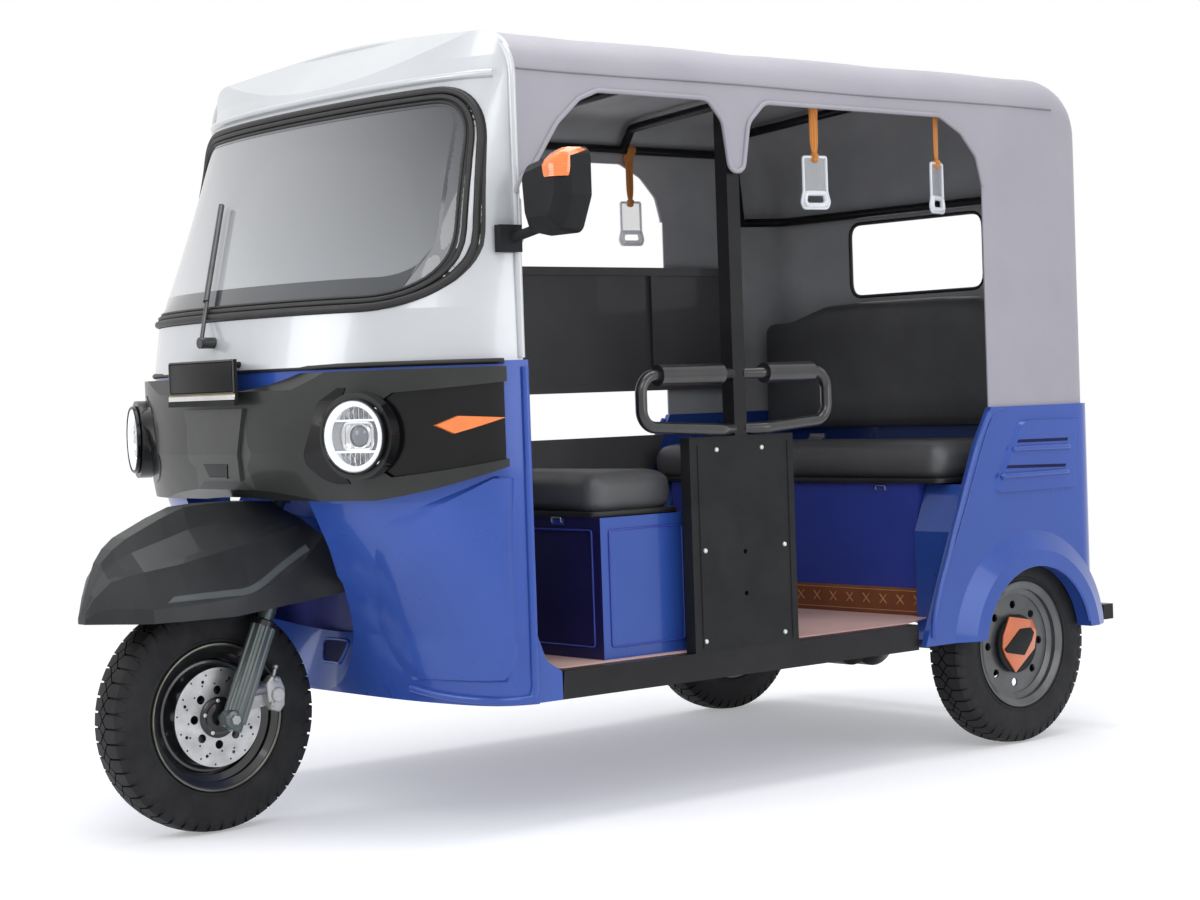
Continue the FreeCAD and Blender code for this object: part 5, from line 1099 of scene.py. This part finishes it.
def build_quarter(side, sign):
    skin = skin_of("rear_quarter_" + side)
    ray = (-sign, 0, 0)
    edges = [[at(640 * sign, y, z) for y, z in edge] for edge in (VENT_FRONT, VENT_REAR)]
    plate_on(f"vent_frame_{side}", *edges, skin, ray, "chassis", BLUE, 9, 0.05, 8, 3)
    for number, ((y0, z0), (y1, z1), (y2, z2), (y3, z3)) in enumerate(LOUVRES):
        corners = ((y0, z0 - 4), (y1, z1 - 4), (y1 + 3, z1 + 4), (y0 + 6, z0 + 4))
        # Dark slab in each gap between the blades: painted shade
        slot = [at(649.3 * sign, y, z) for y, z in corners]
        mesh_piece(f"vent_slot_{number}_{side}", *slab(slot, (0.0006 * sign, 0, 0)), "chassis", SLOT_SHADE)
        bends = ((648, y2 + 4, z2 - 3), (651, y2 + 16, z2), (652, (y2 + y3) / 2, (z2 + z3) / 2),
                 (651, y3 - 16, z3), (648, y3 - 4, z3 - 2))
        path = [at(x * sign, y, z) for x, y, z in bends]
        tube_piece(f"vent_blade_{number}_{side}", curve_through(path, 6), 0.0075, "chassis", BLUE, 10)
    for name, spots, stand, steps, radius, sides in (("rim", QUARTER_RIM, 1, 4, 0.0085, 12),
                                                     ("line", QUARTER_LINE, 0.4, 5, 0.0022, 8)):
        path = [touch(skin, at(640 * sign, y, z), ray, stand) for y, z in spots]
        tube_piece(f"quarter_{name}_{side}", curve_through(path, steps), radius, "chassis", BLUE, sides)
    lip = []
    for step in range(25):
        angle = math.radians(6 + step * 7)
        z = 262 + math.sin(angle) * ARCH_RADIUS
        if z > ARCH_FOOT:
            lip.append(at(665 * sign, 2150 - math.cos(angle) * ARCH_RADIUS, z))
    tube_piece(f"arch_lip_{side}", curve_through(lip, 2), 0.0045, "chassis", BLUE, 10)


for side, sign in SIDES:
    build_quarter(side, sign)


# Side boards

SCREW = finish_of("screw_white", (0.62, 0.62, 0.6), (0.74, 0.74, 0.72), (0.3, 0.4), 0.4, 0.2, 20.0, 900.0,
                  0.0001, 0.1)
SCREWS = [(1044, 829), (1192, 829), (998, 592), (1259, 591), (992, 378), (1252, 378)]
SCREW_HEAD = [(-1, 0.2), (-1, 6), (1.2, 6), (3.2, 4.6), (4, 2.2), (4.2, 0.2)]


def build_board(side, sign):
    skin = skin_of("side_board_" + side)
    ray = (-sign, 0, 0)
    for number, (y, z) in enumerate(SCREWS):
        centre = touch(skin, at(640 * sign, y, z), ray)
        turned(f"board_screw_{number}_{side}", SCREW_HEAD, centre, (sign, 0, 0), 16, "chassis", SCREW)
    for name, y in (("front", 984), ("rear", 1279)):
        path = [touch(skin, at(640 * sign, y, z), ray, 0.3) for z in range(362, 858, 16)]
        tube_piece(f"board_fold_{name}_{side}", path, 0.0026, "chassis", BLACK_PLASTIC, 8)


for side, sign in SIDES:
    build_board(side, sign)


# Grab straps

CLEAR_EDGE = glass_of("clear_plastic_edge", (0.88, 0.9, 0.93), 0.08, 0.72)
RAIL_LOOP = [(-15, 13.4), (-15, 16), (15, 16), (15, 13.4)]
WEB_ROWS = [
    (1690, 15, 15.5), (1672, 15, 12), (1655, 14, 5), (1635, 12.5, 3.2), (1600, 13, 3), (1575, 12.5, 3),
    (1558, 11, 3.2), (1548, 8, 4), (1541, 7.5, 5),
]
KNOT = [(-12, 0.3), (-11, 7), (-6, 11), (0, 9.5), (6, 11.5), (11, 8), (13, 0.3)]
HANDLE_PLATE = [(-33, 1536), (-33, 1450), (33, 1450), (33, 1536)]
HANDLE_RIM = [
    (-33, 1536), (-33, 1452), (-40, 1425), (-34, 1410), (34, 1410), (40, 1425), (33, 1452), (33, 1536),
]
HANDLE_GRIP = [(-27, 1447), (-31, 1428), (-25, 1417), (25, 1417), (31, 1428), (27, 1447)]
STRAPS = [
    ("left_front", 605, 1419, -14), ("left_rear", 605, 1865, 16), ("right_front", -605, 1419, 10),
    ("right_rear", -605, 1865, -12),
]


def build_strap(name, x, y, turn):
    """Webbing over the roof rail, a knot, and a clear handle with a flared lower end."""
    swing = Matrix.Rotation(math.radians(turn), 3, "Z")
    centre = at(x, y, 0)

    def spot(across, along, z):
        return centre + swing @ Vector((across / 1000, along / 1000, 0)) + Vector((0, 0, z / 1000))

    def handle_line(corners, radii, across=0):
        """Rounded outline of (along, height) corners in the handle's plane."""
        line = fillet([(0, along, z) for along, z in corners], radii, 4, True)
        return [spot(across, point.y, point.z) for point in line]

    loop = turned(f"strap_loop_{name}", RAIL_LOOP, at(x, y, 1690.4), (0, 1, 0), 32, "chassis", WEB)
    if name == "left_front":
        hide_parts("grab_straps")
    points = []
    for z, half, thick in WEB_ROWS:
        points += [spot(-thick, -half, z), spot(thick, -half, z), spot(thick * 1.15, 0, z),
                   spot(thick, half, z), spot(-thick, half, z), spot(-thick * 0.85, 0, z)]
    faces = rows_to_faces(len(WEB_ROWS), 6, False, True) + [tuple(range(len(points) - 6, len(points)))]
    web = mesh_piece(f"strap_web_{name}", points, faces, "chassis", WEB, sharp=45)
    web.modifiers.new("smooth", "SUBSURF").levels = 2
    bake(web, 60)
    turned(f"strap_knot_{name}", KNOT, spot(0, 0, 1534), (0.15, 0.1, 1), 20, "chassis", WEB)
    shape = slab(handle_line(HANDLE_PLATE, [6, 3, 3, 6], -2), swing @ Vector((0.004, 0, 0)))
    mesh_piece(f"strap_plate_{name}", *shape, "chassis", CLEAR)
    rim = handle_line(HANDLE_RIM, [5, 20, 12, 9, 9, 12, 20, 5])
    tube_piece(f"strap_rim_{name}", rim, 0.0038, "chassis", CLEAR_EDGE, 10, True)
    grip = handle_line(HANDLE_GRIP, [6, 8, 8, 8, 8, 6])
    tube_piece(f"strap_grip_{name}", grip, 0.0068, "chassis", CLEAR_EDGE, 12, True)


for strap in STRAPS:
    build_strap(*strap)


# Cabin floor and seat boxes

MAT = finish_of("floor_mat", (0.6, 0.38, 0.34), (0.7, 0.46, 0.41), (0.6, 0.75), 0.0, 0.0, 3.0, 700.0, 0.0005,
                0.35)
KICK = finish_of("kick_strip", (0.2, 0.06, 0.02), (0.29, 0.095, 0.035), (0.35, 0.5), 0.0, 0.3, 7.0, 900.0,
                 0.0003, 0.2)
STITCH = finish_of("stitch_thread", (0.5, 0.27, 0.1), (0.6, 0.34, 0.14), (0.6, 0.7), 0.0, 0.0, 30.0, 900.0,
                   0.0003, 0.2)
BOARD_EDGE = finish_of("cushion_board", (0.008, 0.008, 0.009), (0.013, 0.013, 0.014), (0.5, 0.6), 0.0, 0.0,
                       12.0, 900.0, 0.0004, 0.3)
MAT_CORNERS = [(-585, 572), (585, 572), (585, 1715), (520, 1880), (-520, 1880), (-585, 1715)]
LATCHES = [
    ("driver_a", 406, 727, 680), ("driver_b", -406, 727, 680), ("rear_a", 358, 1885, 696),
    ("rear_b", -358, 1885, 696),
]
STAPLE = [(-17, 1, -8), (-17, -5, -8), (-17, -5, 3), (17, -5, 3), (17, -5, -8), (17, 1, -8)]
BOARD_INSET = 0.006


def build_kick_strip():
    """Strip along the foot of the bench's box, with crossed stitches between two rows."""
    rounded_slab("kick_strip", upright(-484, 522, 1884.5, 356, 428), (0, -0.004, 0), "chassis", KICK, 0.0015)
    shapes = []
    for spot in range(16):
        middle = -450 + spot * 62
        for lean in (-12, 12):
            shapes.append(sweep([at(middle - lean, 1880.2, 384), at(middle + lean, 1880.2, 408)], 0.0016, 6))
    for height in (366, 420):
        shapes.append(sweep([at(-480, 1880.4, height), at(518, 1880.4, height)], 0.0011, 6))
    mesh_piece("kick_stitches", *merged(shapes), "chassis", STITCH)


def box_side(x):
    return [at(x, 752, 384), at(x, 978, 384), at(x, 978, 655), at(x, 752, 655)]


def build_cabin():
    outline = fillet([at(x, y, 352.2) for x, y in MAT_CORNERS], 0.02, 4, True)
    rounded_slab("floor_mat", outline, (0, 0, 0.0035), "chassis", MAT, 0.001, 1)
    build_kick_strip()
    for name, corners in (("side", box_side(561.5)), ("side_right", box_side(-561.5)),
                          ("front", upright(-530, 530, 725.5, 384, 655))):
        path = fillet(corners, 0.008, 3, True)
        tube_piece(f"driver_box_outline_{name}", path, 0.0022, "chassis", BLUE_DARK, 8, True)
    for name, x, y, z in LATCHES:
        staple = fillet([at(x + across, y + along, z + rise) for across, along, rise in STAPLE], 0.003, 3)
        tube_piece(f"latch_{name}", staple, 0.0018, "chassis", STEEL, 8)
        outline = upright(x - 22, x + 22, y - 0.2, z - 14, z + 1)
        rounded_slab(f"latch_plate_{name}", outline, (0, -0.0016, 0), "chassis", BLUE_DARK, 0.0005, 1)
    for node, body in (("driver_seat_cushion", "driver_seat"), ("rear_seat_cushion", "rear_seat")):
        low, high = (Vector(corner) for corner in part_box(node))
        left, right = low.x + BOARD_INSET, high.x - BOARD_INSET
        front, rear = low.y + BOARD_INSET, high.y - BOARD_INSET
        corners = ((left, front), (right, front), (right, rear), (left, rear))
        outline = fillet([Vector((x, y, low.z)) for x, y in corners], 0.03, 5, True)
        rounded_slab(f"{node}_board", outline, (0, 0, 0.013), body, BOARD_EDGE, 0.002)


build_cabin()


# Fork, hub and rim details

FORK_LEAN = math.radians(23)


def fork_spot(x, back, up):
    """Point of the leaning fork: back across its lean and up along it, in millimetres."""
    y = 15 + up * math.sin(FORK_LEAN) + back * math.cos(FORK_LEAN)
    return at(x, y, AXLE_HEIGHT + up * math.cos(FORK_LEAN) - back * math.sin(FORK_LEAN))


HUB_BLACK = finish_of("hub_black", (0.008, 0.008, 0.009), (0.014, 0.014, 0.015), (0.25, 0.35), 0.3, 0.4,
                      14.0, 1000.0, 0.0002, 0.12)
RIM_EDGE = finish_of("rim_edge", (0.11, 0.11, 0.09), (0.17, 0.17, 0.14), (0.28, 0.4), 0.7, 0.1, 20.0, 900.0,
                     0.0002, 0.1)
LEG_X = 95
FLUTE_REACH = 26.5
BOSS = [(-30, 0.3), (-30, 21), (-2, 22), (2, 20), (4, 15), (4, 0.3)]
AXLE_NUT = [(3, 0.3), (3, 12), (12, 12), (13.5, 10.5), (13.5, 0.3)]
LEG_COLLAR = [(-5, 27.4), (-5, 31), (7, 31), (10, 27), (10, 20.4), (-5, 20.4)]


def build_fork(side, sign):
    shapes = []
    for angle in (-64, -28, 8, 44, 80):
        turn = math.radians(angle)
        x = sign * (LEG_X + FLUTE_REACH * math.cos(turn))
        back = -FLUTE_REACH * math.sin(turn)
        shapes.append(sweep([fork_spot(x, back, height) for height in (-8, 60, 140, 218)], 0.0052, 10))
    mesh_piece(f"fork_flutes_{side}", *merged(shapes), "steering", FORK_PAINT, sharp=50)
    out = (sign, 0, 0)
    centre = at(sign * 122, 0, AXLE_HEIGHT)
    turned(f"fork_boss_{side}", BOSS, centre, out, 36, "steering", FORK_PAINT)
    turned(f"axle_nut_{side}", AXLE_NUT, centre, out, 6, "steering", STEEL)
    along = fork_spot(0, 0, 1) - fork_spot(0, 0, 0)
    place = fork_spot(sign * LEG_X, 0, 223)
    turned(f"fork_collar_{side}", LEG_COLLAR, place, along, 36, "steering", HUB_BLACK)


for side, sign in SIDES:
    build_fork(side, sign)


# Brake caliper behind the fork's left leg

CASTING = finish_of("caliper_casting", (0.4, 0.4, 0.4), (0.52, 0.52, 0.52), (0.35, 0.5), 0.6, 0.1, 20.0,
                    500.0, 0.0004, 0.2)
CALIPER_EDGE = [
    (114, 300), (122, 270), (146, 262), (160, 278), (162, 318), (150, 344), (128, 350), (112, 332),
]
PISTON = [(-2, 0.3), (-2, 17), (4, 17), (6.5, 15), (7, 0.3)]
CALIPER_BOLT = [(-3, 0.3), (-3, 6.5), (5, 6.5), (7, 4.5), (7, 0.3)]
HOSE_BOLT = [(0, 0.3), (0, 5), (16, 5), (18, 7.5), (24, 7.5), (27, 4), (27, 0.3)]


def build_caliper():
    outline = fillet([at(60, y, z) for y, z in CALIPER_EDGE], 0.008, 4, True)
    rounded_slab("caliper_body", outline, (0.026, 0, 0), "steering", CASTING, 0.005, 3)
    out = (1, 0, 0)
    turned("caliper_piston", PISTON, at(86, 140, 304), out, 32, "steering", CASTING)
    shapes = [closed_lathe(CALIPER_BOLT, at(86, y, z), out, 6) for y, z in ((124, 284), (136, 340))]
    shapes.append(closed_lathe(HOSE_BOLT, at(73, 138, 347), (0, 0.35, 1), 20))
    mesh_piece("caliper_bolts", *merged(shapes), "steering", STEEL)


build_caliper()


# Front hub, brake disc and rim

DISC_CARRIER = [(54.2, 11), (54.2, 45), (57, 47), (60, 44), (62, 34), (66, 27), (66, 11)]
DISC_BOLT = [(0, 0.2), (0, 5), (3, 5), (5, 3), (5.2, 0.2)]
DISC_PIT = [(0, 0.1), (0, 2.5), (0.3, 2.5), (0.3, 0.1)]
PIT_REACHES = (0.078, 0.102, 0.084, 0.107)
RIM_RIDGE = [(1, 114), (8, 117), (12, 122), (11, 127), (5, 131), (1, 132)]
RIM_RING = [(50.5, 163.5), (52.5, 163), (54, 165), (53.5, 168), (51, 169), (49.5, 167)]


def beside_hub(depth, angle, reach):
    """Point beside the front wheel's centre: out to the left and round it, in metres."""
    return FRONT_WHEEL + Vector((depth, math.cos(angle) * reach, math.sin(angle) * reach))


def build_front_hub():
    out = (1, 0, 0)
    turned("disc_carrier", DISC_CARRIER, FRONT_WHEEL, out, 48, "front_wheel", HUB_BLACK)
    bolts = [closed_lathe(DISC_BOLT, beside_hub(0.0585, 2 * math.pi * spot / 5 + 0.4, 0.0385), out, 12)
             for spot in range(5)]
    mesh_piece("disc_bolts", *merged(bolts), "front_wheel", SCREW)
    # Black discs stand for the brake disc's drilled holes: painted shade where the holes are
    pits = []
    for spot in range(32):
        place = beside_hub(0.05405, math.radians(spot * 11.25 + 5), PIT_REACHES[spot % 4])
        pits.append(closed_lathe(DISC_PIT, place, out, 12))
    mesh_piece("disc_pits", *merged(pits), "front_wheel", HUB_BLACK)
    for side, sign in SIDES:
        out = (sign, 0, 0)
        face = 5.2 if sign > 0 else 0.2
        dish = [(face, 60), (face, 132), (face + 1.4, 132), (face + 1.4, 60)]
        turned(f"rim_dish_{side}", dish, FRONT_WHEEL, out, 72, "front_wheel", RIM_BLACK)
        ridge = [(face + along, radius) for along, radius in RIM_RIDGE]
        turned(f"rim_ridge_{side}", ridge, FRONT_WHEEL, out, 96, "front_wheel", RIM_GREY)
        turned(f"rim_edge_{side}", RIM_RING, FRONT_WHEEL, out, 96, "front_wheel", RIM_EDGE)


build_front_hub()


# Fender creases with a painted highlight, wheel well and toe opening with painted shade

# Lighter grey strips along the fender's creases: a painted highlight on the raised ridge
CREASE_HIGHLIGHT = finish_of("fender_crease_highlight", (0.08, 0.09, 0.09), (0.105, 0.117, 0.117), (0.34, 0.44), 0.1, 0.1, 7.0,
                   1400.0, 0.0002, 0.1, 0.3)
# Deeper blue for the back wall of the front wheel well: painted shade
WELL_PAINTED_SHADE = finish_of("wheel_well_blue", (0.04, 0.045, 0.2), (0.055, 0.06, 0.26), (0.45, 0.6), 0.0, 0.1, 3.0,
                 1200.0, 0.0002, 0.1, 0.2)
CREASE_LOW = [(-172, 541), (-92, 543), (-17, 544), (36, 546), (77, 563), (135, 599), (196, 634)]
CREASE_HIGH = [(-150, 557), (-80, 560), (-12, 562), (30, 565), (68, 580), (126, 615), (190, 650)]
TOE_EDGES = [
    [(-44, 402), (-42, 390), (-34, 372), (-22, 358)],
    [(66, 402), (64, 390), (58, 372), (46, 358)],
]
TOE_RIM = [(-48, 406), (72, 406), (50, 354), (-26, 354)]


def build_well():
    skin = skin_of("front_fender")
    for side, sign in SIDES:
        edges = [[at(170 * sign, y, z) for y, z in edge] for edge in (CREASE_LOW, CREASE_HIGH)]
        plate_on(f"fender_crease_highlight_{side}", *edges, skin, (-sign, 0, 0), "steering", CREASE_HIGHLIGHT, 2.2, 0.2, 4, 4)
    # The wall behind the fender is painted a deeper blue as painted shade
    outline = fillet(upright(-345, 345, 388, 404, 764), 0.03, 5, True)
    mesh_piece("well_bulkhead", *slab(outline, (0, 0.003, 0)), "chassis", WELL_PAINTED_SHADE)
    nose = skin_of("front_apron")
    edges = [[at(x, 300, z) for x, z in edge] for edge in TOE_EDGES]
    # Dark plate over the toe opening: painted shade
    plate_on("toe_opening", *edges, nose, (0, 1, 0), "chassis", SLOT_SHADE, 1, 0.04, 8, 3)
    rim = resample(fillet([at(x, 300, z) for x, z in TOE_RIM], 0.012, 5, True), 48)
    rim = [touch(nose, spot, (0, 1, 0), 1) for spot in rim]
    tube_piece("toe_opening_rim", rim, 0.004, "chassis", BLUE, 10, True)


build_well()


# Mirror, hood seams and tail

SEAM = leather_of("hood_seam", (0.2, 0.19, 0.215), (0.24, 0.23, 0.255), (0.5, 0.6), 520.0, 0.0003)
REPEATER_ROWS = [(1494, 792, 850), (1486, 788, 852), (1462, 788, 852), (1442, 792, 850), (1436, 796, 848)]
TAIL_LIGHTS = [("stop", 800, 854, RED), ("turn", 748, 796, AMBER), ("reverse", 696, 744, CLEAR_EDGE)]


def build_mirror():
    edges = [[at(row[column], 430, row[0]) for row in REPEATER_ROWS] for column in (1, 2)]
    plate_on("mirror_repeater", *edges, skin_of("mirror"), (0, 1, 0), "chassis", AMBER, 5, 0.08, 5, 3)


def build_hood_seam(side, sign):
    """Seam along the hood's side that wavers a little, as sewn cloth does."""
    path = [at((632.4 + 0.4 * math.sin(y * 0.02)) * sign, y, 1694 + 1.5 * math.sin(y * 0.007))
            for y in range(470, 2301, 30)]
    tube_piece(f"hood_seam_{side}", path, 0.0022, "chassis", SEAM, 8)


def build_tail_lights(side, sign):
    for name, low, high, material in TAIL_LIGHTS:
        outline = fillet(upright(sign * 455 - 29, sign * 455 + 29, 2467.5, low, high), 0.007, 4, True)
        rounded_slab(f"tail_{name}_{side}", outline, (0, 0.007, 0), "chassis", material, 0.0022, 3)


build_mirror()
for side, sign in SIDES:
    build_hood_seam(side, sign)
for side, sign in SIDES:
    build_tail_lights(side, sign)


# Camera and studio

FOCAL_LENGTH = 71.68
CAMERA_PLACE = (4771.42, -2807.96, 969.7)
CAMERA_ANGLES = (49.93, 1.34, -1.94)
FLOOR_REACH = 60
NEAR_GLOW = 0.32
FADE_START = 2.4
FADE_END = 5.0
SKY_STRENGTH = 0.58


def aim(azimuth, pitch, roll):
    """Camera turn for a view along an azimuth and a pitch, rolled about the view."""
    level = math.cos(pitch)
    forward = Vector((-math.sin(azimuth) * level, math.cos(azimuth) * level, -math.sin(pitch)))
    right = Vector((math.cos(azimuth), math.sin(azimuth), 0))
    up = right.cross(forward)
    side = right * math.cos(roll) + up * math.sin(roll)
    top = up * math.cos(roll) - right * math.sin(roll)
    return Matrix((side, top, -forward)).transposed().to_4x4()


lens = bpy.data.cameras.new("camera")
lens.sensor_width = 36
lens.lens = FOCAL_LENGTH
lens.clip_end = 200
camera = bpy.data.objects.new("camera", lens)
bpy.context.scene.collection.objects.link(camera)
turn = aim(*(math.radians(angle) for angle in CAMERA_ANGLES))
camera.matrix_world = Matrix.Translation(at(*CAMERA_PLACE)) @ turn
bpy.context.scene.camera = camera


def background_rays(tree):
    """Node that is one for rays to the background: from the camera, off gloss or through glass."""
    path = add_node(tree, "ShaderNodeLightPath")
    either = add_node(tree, "ShaderNodeMath", operation="MAXIMUM")
    wire(tree, path, "Is Camera Ray", either, 0)
    wire(tree, path, "Is Glossy Ray", either, 1)
    every = add_node(tree, "ShaderNodeMath", operation="MAXIMUM")
    wire(tree, either, "Value", every, 0)
    wire(tree, path, "Is Transmission Ray", every, 1)
    return every


def background_paint():
    """Floor paint that the camera sees as white, with the shadow of what stands on it."""
    material, tree, base = shader("studio_floor")
    settle(base, {"Base Color": (0.82, 0.82, 0.83, 1), "Roughness": 0.95, "Specular IOR Level": 0.1})
    near = add_node(tree, "ShaderNodeEmission", Strength=NEAR_GLOW)
    far = add_node(tree, "ShaderNodeEmission", Strength=1.0)
    lit = add_node(tree, "ShaderNodeAddShader")
    wire(tree, base, "BSDF", lit, 0)
    wire(tree, near, "Emission", lit, 1)
    coords = add_node(tree, "ShaderNodeTexCoord")
    reach = add_node(tree, "ShaderNodeVectorMath", operation="LENGTH")
    wire(tree, coords, "Object", reach, 0)
    fade = add_node(tree, "ShaderNodeMapRange", interpolation_type="SMOOTHSTEP")
    settle(fade, {"From Min": FADE_START, "From Max": FADE_END})
    wire(tree, reach, "Value", fade, "Value")
    spread = add_node(tree, "ShaderNodeMixShader")
    wire(tree, fade, "Result", spread, "Fac")
    wire(tree, lit, "Shader", spread, 1)
    wire(tree, far, "Emission", spread, 2)
    seen = add_node(tree, "ShaderNodeMixShader")
    wire(tree, background_rays(tree), "Value", seen, "Fac")
    wire(tree, base, "BSDF", seen, 1)
    wire(tree, spread, "Shader", seen, 2)
    wire(tree, seen, "Shader", tree.nodes["Material Output"], "Surface")
    return material


def flat_stage():
    mesh = bpy.data.meshes.new("studio_floor")
    corners = [(x * FLOOR_REACH, y * FLOOR_REACH, 0) for x, y in ((-1, -1), (1, -1), (1, 1), (-1, 1))]
    mesh.from_pydata(corners, [], [(0, 1, 2, 3)])
    floor = bpy.data.objects.new("studio_floor", mesh)
    bpy.context.scene.collection.objects.link(floor)
    floor.location.z = cad_low.z - 0.0005
    mesh.materials.append(background_paint())


def bright_world():
    """Pale sky for the light, white for the rays that look at the background."""
    world = bpy.data.worlds.new("studio")
    bpy.context.scene.world = world
    world.use_nodes = True
    tree = world.node_tree
    sky = tree.nodes["Background"]
    settle(sky, {"Color": (0.9, 0.93, 1, 1), "Strength": SKY_STRENGTH})
    seen = add_node(tree, "ShaderNodeBackground", Color=(1, 1, 1, 1), Strength=1.0)
    mix = add_node(tree, "ShaderNodeMixShader")
    wire(tree, background_rays(tree), "Value", mix, "Fac")
    wire(tree, sky, "Background", mix, 1)
    wire(tree, seen, "Background", mix, 2)
    wire(tree, mix, "Shader", tree.nodes["World Output"], "Surface")


def soft_lamp(name, place, target, size, power):
    """Rectangular lamp that shines from a place at a target."""
    light = bpy.data.lights.new(name, "AREA")
    light.shape = "RECTANGLE"
    light.size, light.size_y = size
    light.energy = power
    lamp = bpy.data.objects.new(name, light)
    bpy.context.scene.collection.objects.link(lamp)
    lamp.location = place
    lamp.rotation_euler = (Vector(target) - Vector(place)).to_track_quat("-Z", "Y").to_euler()


flat_stage()
bright_world()
soft_lamp("key", (4.5, -3.5, 4.5), (0, 0, 0.8), (3.5, 3), 85)
soft_lamp("side", (5.5, 1.6, 1.9), (0, 0.4, 0.9), (3, 2.6), 55)
soft_lamp("front", (-1.5, -5.5, 3.0), (0, -0.8, 0.8), (3, 2.5), 70)
soft_lamp("top", (0, 0.4, 6), (0, 0.4, 0), (5, 5), 235)

bpy.context.scene.view_settings.view_transform = "Standard"
